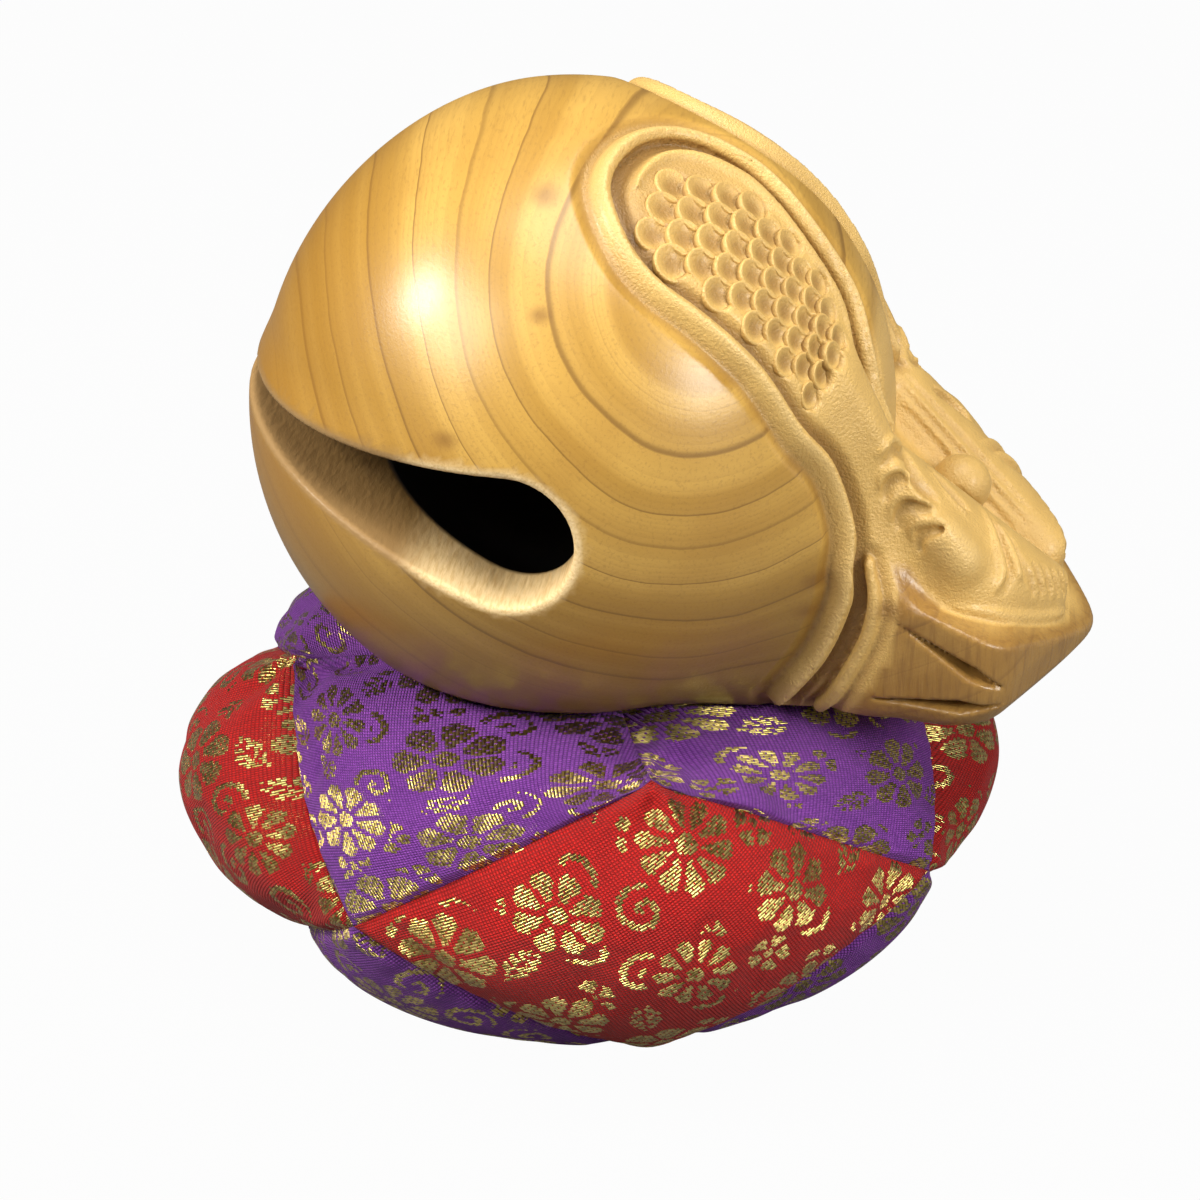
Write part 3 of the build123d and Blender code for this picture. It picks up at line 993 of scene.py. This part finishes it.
def scale_tree():
    """Sets one tile on each point, turned to the point's own directions."""
    tree = bpy.data.node_groups.new("set_scales", "GeometryNodeTree")
    kinds = {"Points": "Geometry", "Tile": "Object", "Wood": "Material"}
    kinds.update(Smallest="Float", Largest="Float")
    for label, kind in kinds.items():
        tree.interface.new_socket(label, in_out="INPUT", socket_type="NodeSocket" + kind)
    tree.interface.new_socket("Scales", in_out="OUTPUT", socket_type="NodeSocketGeometry")
    w = Wiring(tree)
    given = w.node("NodeGroupInput").outputs
    gives = w.node("NodeGroupOutput").inputs

    def named(name, kind="FLOAT_VECTOR"):
        made = w.node("GeometryNodeInputNamedAttribute", data_type=kind)
        made.inputs["Name"].default_value = name
        return made.outputs["Attribute"]

    points = w.node("GeometryNodeMeshToPoints", {"Mesh": given["Points"]}).outputs[0]
    upright = w.node("FunctionNodeAlignRotationToVector", {"Vector": named("facing")}, axis="Z")
    turned = w.node(
        "FunctionNodeAlignRotationToVector",
        {"Rotation": upright.outputs[0], "Vector": named("toward")},
        axis="Y",
        pivot_axis="Z",
    )
    spread = w.node("FunctionNodeRandomValue", data_type="FLOAT")
    for socket in spread.inputs:
        if socket.type == "VALUE" and socket.name == "Min":
            w.put(socket, given["Smallest"])
        if socket.type == "VALUE" and socket.name == "Max":
            w.put(socket, given["Largest"])
        if socket.name == "Seed":
            w.put(socket, SCALE_SEED)
    spread = [socket for socket in spread.outputs if socket.type == "VALUE"][0]
    size = w.times(spread, named("size", "FLOAT"))
    tile = w.node("GeometryNodeObjectInfo", {"Object": given["Tile"]}).outputs["Geometry"]
    placed = w.node(
        "GeometryNodeInstanceOnPoints",
        {"Points": points, "Instance": tile, "Rotation": turned.outputs[0], "Scale": size},
    ).outputs[0]
    solid = w.node("GeometryNodeRealizeInstances", {"Geometry": placed}).outputs[0]
    solid = w.node("GeometryNodeSetMaterial", {"Geometry": solid, "Material": given["Wood"]}).outputs[0]
    w.put(gives["Scales"], solid)
    return tree


def panel_scales(grid, material):
    """Rows of scales on both panels, free ends towards the crown."""
    spots = scale_spots()
    points = grid.onto_surface([panel_point(along, across) for along, across, _ in spots])
    facing = points / np.linalg.norm(points, axis=1)[:, None]
    points = points + (SCALE_BED - SCALE_SINK) * facing
    toward = -PANEL_LONG_WAY - facing * (facing @ -PANEL_LONG_WAY)[:, None]
    flip = np.array((-1, 1, 1))
    both = (np.concatenate((points, points * flip)) + FISH_MIDDLE) * MM
    made = mesh_object("fish_scales", both.tolist(), [], material)
    for name, values in (("facing", facing), ("toward", toward)):
        add_vectors(made, name, np.concatenate((values, values * flip)))
    add_attribute(made, "size", [size for _, _, size in spots] * 2)
    tile = scale_tile(material)
    setter = made.modifiers.new("set_scales", "NODES")
    setter.node_group = scale_tree()
    sockets = setter.node_group.interface.items_tree
    inputs = {socket.name: socket.identifier for socket in sockets if socket.in_out == "INPUT"}
    sizes = dict(zip(("Smallest", "Largest"), SCALE_SIZES))
    for label, value in {"Tile": tile, "Wood": material, **sizes}.items():
        setter[inputs[label]] = value
    plain_mesh(made)
    made.data.shade_smooth()
    bpy.data.objects.remove(tile)
    return made


# Cushion, measured from the middle of its waist
WAIST_Z = 24.0
CUSHION_TURN = 17.0
SIDE_BULGE = (60.0, 2.0)
VALLEY_R = 57.0
TOP_CORNERS = ((44.0, 21.0), (44.0, 17.6), (44.0, 21.0), (44.0, 21.0))
BASE_CORNER = (43.0, -22.3)
DENT_Z = 19.8
CROWNS = (19.8, 18.6, 19.8, 19.8)
TOP_BULGES = ((41.0, 14.5), (43.0, 17.0), (45.0, 17.8), (44.0, 17.8))
BASE_BULGE = (40.0, -22.2)
BASE_FLAT = -24.0
SEAM_PUFF = 1.09
FLAT_SEAM_SHARES = (0.62, 0.86)
SEAM_TUCK = 0.9
SEAM_TUCK_WIDTH = 1.1
FLANGE = 2.6
PATCH_CELLS = 28
PATCH_SIDE = 50.0
PATCH_TURNS = {"side": 0.12, "top": 0.55, "base": 0.9}
# How much further the pattern is turned and moved on each patch
PATCH_TURN_STEP = 0.4
PATCH_SHIFT = (37.0, 23.0)
# The cloth is blown up at ten times its size, where its settings hold better
CLOTH_SCALE = 10.0
CLOTH_FRAMES = 20
CLOTH_CAP = 3.5
CREASES = 5
CREASE_DEPTH = 1.3
CREASE_PLACE = 5.0
CREASE_TURN = 1.3
# Share of a crease that goes outwards, and the share that goes up or down
CREASE_OUT = 0.6
CREASE_UP = 0.8
# A place where nothing is above the cushion
CLEAR = 99.0
FISH_CLEARANCE = 0.2
WADDING_SIZE = 0.95
WADDING_FLOOR = 0.6
WADDING_CLEARANCE = 2.2


def at(radius, turn, height):
    """A point of the cushion from its distance from the middle, its turn in degrees and its height."""
    angle = math.radians(CUSHION_TURN + turn)
    return np.array((radius * math.cos(angle), radius * math.sin(angle), height))


def edge_seam(a, b):
    """Control points of a seam down the shoulder."""
    return np.array((a, (2 * a + b) * SEAM_PUFF / 3, (a + 2 * b) * SEAM_PUFF / 3, b))


def flat_seam(middle, corner, height):
    """Control points of a seam from the middle of the top or underside to a corner."""
    out = corner * (1, 1, 0)
    first, second = FLAT_SEAM_SHARES
    return np.array((middle, middle + first * out, out * second + (0, 0, height), corner))


def puffed_net(first, last, start, end, bulge):
    """A four by four control net between four seams whose middle passes through the bulge point."""
    u = (np.arange(4) / 3)[:, None, None]
    v = (np.arange(4) / 3)[None, :, None]
    net = first[:, None] * (1 - v) + last[:, None] * v + start[None] * (1 - u) + end[None] * u
    net = net - first[0] * (1 - u) * (1 - v) - first[3] * u * (1 - v)
    net = net - last[0] * (1 - u) * v - last[3] * u * v
    weights = np.array((0.125, 0.375, 0.375, 0.125))
    net[1:3, 1:3] += (bulge - np.einsum("i,j,ijk", weights, weights, net)) / weights[1:3].sum() ** 2
    return net


def cushion_nets():
    """The net of each diamond of the cover by its name."""
    tops = [at(radius, 90 * i, height) for i, (radius, height) in enumerate(TOP_CORNERS)]
    bases = [at(BASE_CORNER[0], 90 * i, BASE_CORNER[1]) for i in range(4)]
    valleys = [at(VALLEY_R, 90 * i + 45, 0) for i in range(4)]
    top = np.array((0, 0, DENT_Z))
    base = np.array((0, 0, BASE_FLAT))
    nets = {}
    for i in range(4):
        n = (i + 1) % 4
        p = (i + 3) % 4
        nets[f"top_patch_{i + 1}"] = puffed_net(
            flat_seam(top, tops[i], CROWNS[i]),
            edge_seam(tops[n], valleys[i]),
            flat_seam(top, tops[n], CROWNS[n]),
            edge_seam(tops[i], valleys[i]),
            at(TOP_BULGES[i][0], 90 * i + 45, TOP_BULGES[i][1]),
        )
        nets[f"side_patch_{i + 1}"] = puffed_net(
            edge_seam(tops[i], valleys[i]),
            edge_seam(valleys[p], bases[i]),
            edge_seam(tops[i], valleys[p]),
            edge_seam(valleys[i], bases[i]),
            at(SIDE_BULGE[0], 90 * i, SIDE_BULGE[1]),
        )
        nets[f"base_patch_{i + 1}"] = puffed_net(
            flat_seam(base, bases[i], BASE_FLAT),
            edge_seam(bases[n], valleys[i]),
            flat_seam(base, bases[n], BASE_FLAT),
            edge_seam(bases[i], valleys[i]),
            at(BASE_BULGE[0], 90 * i + 45, BASE_BULGE[1]),
        )
    return nets


def patch_points(net, cells):
    """Points of a patch, on a square grid of its two ways."""
    t = np.linspace(0, 1, cells + 1)
    bend = np.stack(((1 - t) ** 3, 3 * t * (1 - t) ** 2, 3 * t * t * (1 - t), t**3), 1)
    return np.einsum("ai,bj,ijk->abk", bend, bend, net)


def grid_faces(index, points):
    """Faces of a grid of point numbers, turned to point away from the middle of the cushion."""
    a, b, c, d = index[:-1, :-1], index[1:, :-1], index[1:, 1:], index[:-1, 1:]
    faces = np.stack((a, b, c, d), -1).reshape(-1, 4)
    a, b, c = (points[faces[:, k]] for k in (0, 1, 2))
    outward = np.einsum("ij,ij->i", np.cross(b - a, c - a), a + c).sum()
    return faces if outward > 0 else faces[:, ::-1]


class Cover:
    """The whole cover as one welded cloth, with the place of each patch in it."""

    def __init__(self):
        self.index = {}
        points = []
        known = {}
        for name, net in cushion_nets().items():
            places = patch_points(net, PATCH_CELLS)
            index = np.zeros(places.shape[:2], int)
            for spot in np.ndindex(index.shape):
                key = tuple(np.round(places[spot], 3) + 0.0)
                if key not in known:
                    known[key] = len(points)
                    points.append(places[spot])
                index[spot] = known[key]
            self.index[name] = index
        self.points = np.array(points)
        self.seams = np.zeros(len(points), bool)
        for index in self.index.values():
            for rim in (index[0], index[-1], index[:, 0], index[:, -1]):
                self.seams[rim] = True

    def faces(self):
        return np.concatenate([grid_faces(index, self.points) for index in self.index.values()])

    def puff(self):
        """Blows the cover up a little between its seams."""
        scale = CLOTH_SCALE * MM
        cloth = mesh_object("cover_cloth", (self.points * scale).tolist(), self.faces().tolist(), None)
        held = cloth.vertex_groups.new(name="seams")
        held.add(np.nonzero(self.seams)[0].tolist(), 1.0, "REPLACE")
        sim = cloth.modifiers.new("cloth", "CLOTH")
        sim.settings.quality = 6
        sim.settings.mass = 0.25
        sim.settings.tension_stiffness = 25
        sim.settings.compression_stiffness = 12
        sim.settings.shear_stiffness = 8
        sim.settings.bending_stiffness = 0.6
        sim.settings.use_pressure = True
        sim.settings.uniform_pressure_force = 5.0
        sim.settings.shrink_min = -0.035
        sim.settings.vertex_group_mass = "seams"
        sim.settings.effector_weights.gravity = 0
        sim.collision_settings.use_collision = False
        sim.collision_settings.use_self_collision = False
        sim.point_cache.frame_start = 1
        sim.point_cache.frame_end = CLOTH_FRAMES
        scene = bpy.context.scene
        for number in range(1, CLOTH_FRAMES + 1):
            scene.frame_set(number)
        plain_mesh(cloth)
        moved = vertex_array(cloth.data) / scale - self.points
        scene.frame_set(1)
        bpy.data.objects.remove(cloth)
        far = np.linalg.norm(moved, axis=1)
        moved *= (CLOTH_CAP * np.tanh(far / CLOTH_CAP) / np.maximum(far, 1e-6))[:, None]
        self.points = self.points + moved


def fish_underside(grid):
    """How low the fish comes over each place of the cushion, from its distance field."""
    inside = grid.field < 0
    first = np.argmax(inside, axis=2)
    heights = grid.low[2] + VOXEL * first - VOXEL
    heights[~inside.any(axis=2)] = CLEAR
    return heights


def under_fish(points, grid, heights, clearance=FISH_CLEARANCE):
    """Points of the cushion pressed down to below the fish."""
    local = points + (0, 0, WAIST_Z) - FISH_MIDDLE
    place = np.stack((np.abs(local[:, 0]), local[:, 1] - grid.low[1]), 1) / VOXEL
    place = np.round(place).astype(int)
    inside = np.all((place >= 0) & (place < heights.shape), axis=1)
    limit = np.full(len(points), CLEAR)
    limit[inside] = heights[tuple(place[inside].T)]
    pressed = points.copy()
    pressed[:, 2] = np.minimum(points[:, 2], points[:, 2] + limit - local[:, 2] - clearance)
    pressed[:, 2] = np.maximum(pressed[:, 2], -WAIST_Z)
    return pressed


def gathered(points, smooth=False):
    """Points drawn in at each upper corner, where the seams pull the cloth into creases."""
    for i, (radius, height) in enumerate(TOP_CORNERS):
        out = at(1.0, 90 * i, 0.0)
        down = CREASE_OUT * out - (0, 0, CREASE_UP)
        offset = points - at(radius, 90 * i, height)
        angle = np.arctan2(offset @ np.cross((0, 0, 1), out), offset @ down)
        gap = np.linalg.norm(offset, axis=1) / CREASE_PLACE
        fold = 1.0 if smooth else 0.5 + 0.5 * np.cos(CREASES * angle + CREASE_TURN * i + gap)
        depth = CREASE_DEPTH * fold * gap * np.exp(1 - gap)
        points = points - depth[:, None] * (CREASE_OUT * out + (0, 0, CREASE_UP))
    return points


def weave_places(points, turn, shift):
    """Places on the flat cloth in millimetres, along and across the diagonals of a patch."""
    n = points.shape[0]
    u = np.linspace(-0.5, 0.5, n)[:, None] * np.ones(n)
    v = u.T

    def length(line):
        return np.linalg.norm(np.diff(line, axis=0), axis=1).sum()

    diagonal = points[np.arange(n), np.arange(n)]
    other = points[np.arange(n), np.arange(n)[::-1]]
    flat = np.stack(((u - v) * length(other) / 2, (u + v) * length(diagonal) / 2), -1)
    c, s = math.cos(turn), math.sin(turn)
    return flat @ np.array(((c, s), (-s, c))) + shift


def cover_patch(cover, name, number, material, grid, heights):
    """One diamond of the cover: smooth, tucked in at its seams and turned in behind them."""
    index = cover.index[name]
    n = index.shape[0]
    points = cover.points[index]
    corners = points.reshape(-1, 3)
    faces = grid_faces(np.arange(n * n).reshape(n, n), corners)
    patch = mesh_object("brocade_" + name, (corners * MM).tolist(), faces.tolist(), material)
    t = np.linspace(0, 1, n)
    edge = np.minimum(t, 1 - t)
    add_attribute(patch, "seam", (np.minimum(edge[:, None], edge) * PATCH_SIDE).ravel())
    turn = PATCH_TURNS[name.split("_")[0]] + PATCH_TURN_STEP * number
    flat = weave_places(points, turn, (PATCH_SHIFT[0] * number, PATCH_SHIFT[1] * number))
    add_vectors(patch, "weave", np.concatenate((flat.reshape(-1, 2), np.full((n * n, 1), number)), 1))
    smooth = patch.modifiers.new("smooth", "SUBSURF")
    smooth.levels = smooth.render_levels = 2
    smooth.boundary_smooth = "PRESERVE_CORNERS"
    plain_mesh(patch)

    mesh = patch.data
    places = vertex_array(mesh) / MM
    gap = np.zeros(len(mesh.vertices), np.float32)
    mesh.attributes["seam"].data.foreach_get("value", gap)
    tuck = SEAM_TUCK * np.exp(-((gap / SEAM_TUCK_WIDTH) ** 2))
    inward = -places / np.linalg.norm(places, axis=1)[:, None]
    places = places + inward * tuck[:, None]
    places = under_fish(gathered(places), grid, heights) + (0, 0, WAIST_Z)
    mesh.vertices.foreach_set("co", (places * MM).astype(np.float32).ravel())

    form = bmesh.new()
    form.from_mesh(mesh)
    rim = [edge for edge in form.edges if edge.is_boundary]
    turned_in = bmesh.ops.extrude_edge_only(form, edges=rim)["geom"]
    middle = Vector((0, 0, WAIST_Z * MM))
    for vert in (item for item in turned_in if isinstance(item, bmesh.types.BMVert)):
        way = middle - vert.co
        vert.co += way.normalized() * FLANGE * MM
        vert.co.z = max(vert.co.z, 0.0)
    form.to_mesh(mesh)
    form.free()
    mesh.shade_smooth()
    mesh.update()
    return patch


def stuffing(cover, material, grid, heights):
    """The wadding inside the cover."""
    points = gathered(cover.points, smooth=True) * WADDING_SIZE
    points = under_fish(points, grid, heights, WADDING_CLEARANCE) + (0, 0, WAIST_Z)
    points[:, 2] = np.maximum(points[:, 2], WADDING_FLOOR)
    return mesh_object("cushion_wadding", (points * MM).tolist(), cover.faces().tolist(), material)


# Brocade: widths of warp and weft, and the cells that hold one flower or one sprig each
THREAD = (0.50, 0.42)
FLOWER_CELL = (19.0, 17.0)
SPRIG_CELL = (9.6, 8.6)
# How far a flower or sprig may lie off the middle of its cell, and a number that tells the two apart
FLOWER_SPREAD = (0.07, 0.5)
SPRIG_SPREAD = (0.09, 7.5)
FLOWER_SIZES = (5.6, 7.4)
# Least number of petals, and of how many numbers one is drawn
FLOWER_PETALS = (7.0, 4.0)
FLOWER_MARGIN = 0.9
CURL_R = 3.7
CURL_STEP = 2.5
LEAF_R = 4.1
SMALL_FLOWER = (5.0, 3.3)
# Below the first share a sprig is a curl, up to the second a leaf, and else a small flower
SPRIG_SHARES = (0.45, 0.72)
# Length of a gold float, how far the next row is set off, and the share of it that dips under
FLOAT = (1.7, 0.37, 0.13)
# Each ground colour as lit and as painted shade between the threads
RED = ((0.55, 0.006, 0.004, 1), (0.17, 0.002, 0.002, 1))
PURPLE = ((0.29, 0.065, 0.45, 1), (0.075, 0.012, 0.15, 1))
# Gold drawn dark or bright at random for each thread: painted shade and painted glints
GOLD_PAINTED_SHADE = (0.24, 0.17, 0.035, 1)
GOLD_PAINTED_GLINT = (0.78, 0.62, 0.22, 1)
COTTON_DARK = (0.72, 0.69, 0.61, 1)
COTTON_BRIGHT = (0.90, 0.88, 0.82, 1)
MOTIF = {"Place": "v", "Radius": "f", "Turn": "f"}


def polar(w, vector, turn):
    """Distance from the middle, and angle."""
    x, y, _ = w.split(vector)
    return w.vector("LENGTH", w.build(x, y)), w.plus(w.math("ARCTAN2", y, x), turn)


def blossom():
    """A flower with rounded petals, thin gaps between them and a round middle."""
    inputs = {"Place": "v", "Petals": "f", "Radius": "f", "Turn": "f"}
    tree, w, given, gives = shader_group("blossom", inputs, {"Thread": "f"})
    radius, angle = polar(w, given["Place"], given["Turn"])
    half_petals = w.times(given["Petals"], 0.5)
    wave = w.math("ABSOLUTE", w.math("COSINE", w.times(angle, half_petals)))
    reach = w.times(given["Radius"], w.span(w.math("SQRT", wave), 0.66, 1.0))
    inside = w.below(radius, reach)
    space = w.over(w.times(radius, wave, 2.0), given["Petals"])
    apart = w.above(space, 0.42)
    share = w.over(radius, given["Radius"])
    petals = w.times(inside, apart, w.above(share, 0.32))
    eye = w.below(share, 0.22)
    w.put(gives["Thread"], w.most(petals, eye))
    return tree


def scroll():
    """A line that winds in to a curl."""
    tree, w, given, gives = shader_group("scroll", MOTIF, {"Thread": "f"})
    radius, angle = polar(w, given["Place"], given["Turn"])
    wind = w.math("FRACT", w.minus(w.over(radius, CURL_STEP), w.over(angle, 2 * math.pi)))
    line = w.below(w.math("ABSOLUTE", w.minus(wind, 0.5)), 0.2)
    w.put(gives["Thread"], w.times(line, w.below(radius, given["Radius"])))
    return tree


def leaf():
    """A pointed leaf with a vein left open."""
    tree, w, given, gives = shader_group("leaf", MOTIF, {"Thread": "f"})
    radius, angle = polar(w, given["Place"], given["Turn"])
    x = w.times(radius, w.math("COSINE", angle))
    y = w.math("ABSOLUTE", w.times(radius, w.math("SINE", angle)))
    share = w.over(x, given["Radius"])
    width = w.times(w.minus(1.0, w.times(share, share)), w.times(given["Radius"], 0.5))
    blade = w.times(w.below(y, width), w.above(y, 0.22))
    ribs = w.above(w.math("FRACT", w.minus(w.times(y, 0.5), w.times(x, 0.62))), 0.28)
    w.put(gives["Thread"], w.times(blade, ribs))
    return tree


def scattered(w, place, cell, jitter, salt):
    """Places measured from the nearest of scattered middles, with random numbers for each middle."""
    x, y, patch = w.split(place)
    row = w.math("FLOOR", w.over(y, cell[1]))
    column = w.plus(w.over(x, cell[0]), w.times(row, 0.5))
    key = w.build(w.math("FLOOR", column), row, w.plus(patch, salt))
    value, (r, g, b) = w.chance(key)
    part_x = w.math("FRACT", column)
    part_y = w.math("FRACT", w.over(y, cell[1]))
    near_x = w.times(w.minus(part_x, w.span(r, 0.5 - jitter, 0.5 + jitter)), cell[0])
    near_y = w.times(w.minus(part_y, w.span(g, 0.5 - jitter, 0.5 + jitter)), cell[1])
    return w.build(near_x, near_y), value, b


def brocade_pattern():
    """Where gold thread shows on the cloth: large flowers, and sprigs and curls between them."""
    tree, w, given, gives = shader_group("brocade_pattern", {"Place": "v"}, {"Gold": "f"})
    flower = blossom()
    near, value, other = scattered(w, given["Place"], FLOWER_CELL, *FLOWER_SPREAD)
    petals = w.plus(FLOWER_PETALS[0], w.math("FLOOR", w.times(value, FLOWER_PETALS[1])))
    radius = w.span(other, *FLOWER_SIZES)
    turn = w.times(value, 37.0)
    gold = w.group(flower, near, petals, radius, turn)[0]
    clear = w.above(w.vector("LENGTH", near), w.plus(radius, FLOWER_MARGIN))
    near, value, other = scattered(w, given["Place"], SPRIG_CELL, *SPRIG_SPREAD)
    turn = w.times(other, 41.0)
    curl = w.group(scroll(), near, CURL_R, turn)[0]
    blade = w.group(leaf(), near, LEAF_R, turn)[0]
    small = w.group(flower, near, *SMALL_FLOWER, turn)[0]
    low, high = SPRIG_SHARES
    sprig = w.times(curl, w.below(value, low))
    middle = w.times(w.above(value, low), w.below(value, high))
    sprig = w.most(sprig, w.times(blade, middle))
    sprig = w.most(sprig, w.times(small, w.above(value, high)))
    w.put(gives["Gold"], w.most(gold, w.times(sprig, clear)))
    return tree


def brocade_material(name, colours, pattern):
    """Cloth of one ground colour with gold floats over it; the ground is darker between the threads as
    painted shade, and the gold threads are dark or bright at random as painted glints.
    """
    lit, thread_painted_shade = colours
    material, w, shader = finished_material(name)
    place = w.attribute("weave", "Vector")
    x, y, patch = w.split(place)
    across = w.over(x, THREAD[0])
    along = w.over(y, THREAD[1])
    column = w.math("FLOOR", across)
    row = w.math("FLOOR", along)
    snapped = w.build(w.times(column, THREAD[0]), w.times(row, THREAD[1]), patch)
    gold = w.group(pattern, snapped)[0]
    luck, shades = w.chance(w.build(column, row, patch))
    length, offset, dip = FLOAT
    part = w.math("FRACT", w.plus(w.over(x, length), w.times(row, offset)))
    gold = w.times(gold, w.above(part, dip))

    round_x = w.math("SINE", w.times(across, math.pi))
    round_y = w.math("SINE", w.times(along, math.pi))
    knots = w.math("POWER", w.math("ABSOLUTE", w.times(round_x, round_y)), 0.7)
    thread = w.math("POWER", w.math("ABSOLUTE", round_y), 0.6)
    cloud = w.noise(place, 0.09, 2.0)
    # Thread crowns take the lit colour and the gaps the painted shade; clouds lean towards the painted
    # shade
    ground = w.mix(w.times(knots, w.span(luck, 0.55, 1.0)), thread_painted_shade, lit)
    ground = w.mix(w.times(w.step(cloud, 0.4, 0.75), 0.25), ground, thread_painted_shade)
    # Each gold thread is dark or bright at random as painted glints
    gold_painted_glints = w.mix(shades[0], GOLD_PAINTED_SHADE, GOLD_PAINTED_GLINT)
    w.put(shader.inputs["Base Color"], w.mix(gold, ground, gold_painted_glints))
    w.put(shader.inputs["Metallic"], gold)
    w.put(shader.inputs["Roughness"], w.mix(gold, (0.62, 0.62, 0.62, 1), (0.30, 0.30, 0.30, 1)))
    shader.inputs["Specular IOR Level"].default_value = 0.25
    shader.inputs["Sheen Weight"].default_value = 0.05
    shader.inputs["Sheen Roughness"].default_value = 0.4
    lean = w.times(w.minus(shades[1], 0.5), 1.6)
    raised = w.plus(w.times(thread, 1.1), w.plus(lean, 0.5))
    plain = w.times(knots, w.minus(1.0, gold))
    height = w.plus(plain, w.times(raised, gold))
    bump = w.node("ShaderNodeBump", {"Strength": 1.0, "Distance": 0.00018, "Height": height})
    w.put(shader.inputs["Normal"], bump.outputs[0])
    return material


def wadding_material():
    """Loose cotton."""
    material, w, shader = finished_material("cotton_wadding")
    place = w.scaled(w.node("ShaderNodeTexCoord").outputs["Object"], 1 / MM)
    fluff = w.noise(place, 0.35, 4.0, 0.65)
    w.put(shader.inputs["Base Color"], w.mix(fluff, COTTON_DARK, COTTON_BRIGHT))
    shader.inputs["Roughness"].default_value = 0.95
    bump = w.node("ShaderNodeBump", {"Strength": 0.6, "Distance": 0.001, "Height": fluff})
    w.put(shader.inputs["Normal"], bump.outputs[0])
    return material


# Camera: turn and tilt in degrees, and its place
CAMERA_TURN = 96.886
CAMERA_TILT = 27.085
CAMERA_LENS = 90.7
CAMERA_PLACE = (0.3825, 0.0470, 0.2465)
LIT_MIDDLE = (0, 0, 0.06)
ROOM_LIGHT = 0.08
FLOOR_HALF = 1.5
FLOOR_GREY = (0.15, 0.15, 0.15, 1)
# How much of the floor's own light the camera sees
FLOOR_GLOW = 0.97


def add_light(name, way, distance, size, power, colour):
    """A square light that looks at the object from one way."""
    light = bpy.data.lights.new(name, "AREA")
    light.size = size
    light.energy = power
    light.color = colour
    lamp = bpy.data.objects.new(name, light)
    bpy.context.scene.collection.objects.link(lamp)
    lamp.location = Vector(LIT_MIDDLE) + way.normalized() * distance
    lamp.rotation_euler = (-way).to_track_quat("-Z", "Y").to_euler()


def studio():
    """Camera at the photograph's angle, soft lights and a pale floor."""
    scene = bpy.context.scene
    turn, tilt = math.radians(CAMERA_TURN), math.radians(CAMERA_TILT)
    back = Vector((math.sin(turn) * math.cos(tilt), -math.cos(turn) * math.cos(tilt), math.sin(tilt)))
    right = Vector((math.cos(turn), math.sin(turn), 0))
    up = back.cross(right)
    camera = bpy.data.cameras.new("photo_camera")
    camera.lens = CAMERA_LENS
    camera.sensor_width = 36
    viewer = bpy.data.objects.new("photo_camera", camera)
    scene.collection.objects.link(viewer)
    place = Matrix((right, up, back)).transposed().to_4x4()
    place.translation = Vector(CAMERA_PLACE)
    viewer.matrix_world = place
    scene.camera = viewer

    add_light("top_light", Vector((0.10, 0.10, 1.0)), 0.9, 0.6, 7.5, (1.0, 0.98, 0.94))
    add_light("front_light", Vector((0.55, -0.55, 0.63)), 0.8, 0.35, 3.8, (1.0, 0.97, 0.90))
    add_light("key_light", -0.773 * right + 0.487 * up + 0.411 * back, 0.8, 0.18, 5.0, (1.0, 0.96, 0.88))
    add_light("side_light", 0.70 * right + 0.12 * up + 0.70 * back, 0.8, 0.24, 4.5, (1.0, 0.97, 0.90))
    add_light("rear_light", 1.0 * right - 0.05 * up - 0.25 * back, 0.8, 0.5, 0.5, (0.95, 0.98, 1.0))

    world = bpy.data.worlds.new("soft_room")
    world.use_nodes = True
    scene.world = world
    room = world.node_tree.nodes["Background"].inputs
    room["Color"].default_value = (1, 1, 1, 1)
    room["Strength"].default_value = ROOM_LIGHT

    pale, w, shader = finished_material("pale_floor")
    shader.inputs["Base Color"].default_value = FLOOR_GREY
    shader.inputs["Roughness"].default_value = 0.8
    glow = w.node("ShaderNodeEmission")
    seen = w.node("ShaderNodeLightPath").outputs["Is Camera Ray"]
    share = w.times(seen, FLOOR_GLOW)
    both = w.node("ShaderNodeMixShader", {0: share, 1: shader.outputs[0], 2: glow.outputs[0]})
    w.put(pale.node_tree.nodes["Material Output"].inputs["Surface"], both.outputs[0])
    half = FLOOR_HALF
    corners = [(-half, -half, 0), (half, -half, 0), (half, half, 0), (-half, half, 0)]
    mesh_object("floor", corners, [(0, 1, 2, 3)], pale)
    scene.view_settings.view_transform = "Standard"


def dress():
    """Puts the finished fish and cushion in place of the plain solids."""
    wood = wood_material()
    fish, grid = carved_fish(wood)
    scales = panel_scales(grid, wood)
    for piece in (fish, scales):
        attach(piece, "fish")
    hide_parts("wooden_fish")

    heights = fish_underside(grid)
    cover = Cover()
    cover.puff()
    pattern = brocade_pattern()
    red = brocade_material("red_brocade_cloth", RED, pattern)
    purple = brocade_material("purple_brocade_cloth", PURPLE, pattern)
    for number, name in enumerate(cover.index):
        is_side = name.startswith("side")
        patch = cover_patch(cover, name, number, red if is_side else purple, grid, heights)
        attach(patch, "cushion")
        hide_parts(name)
    wadding = stuffing(cover, wadding_material(), grid, heights)
    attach(wadding, "cushion")
    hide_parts("cushion_stuffing")


dress()
studio()
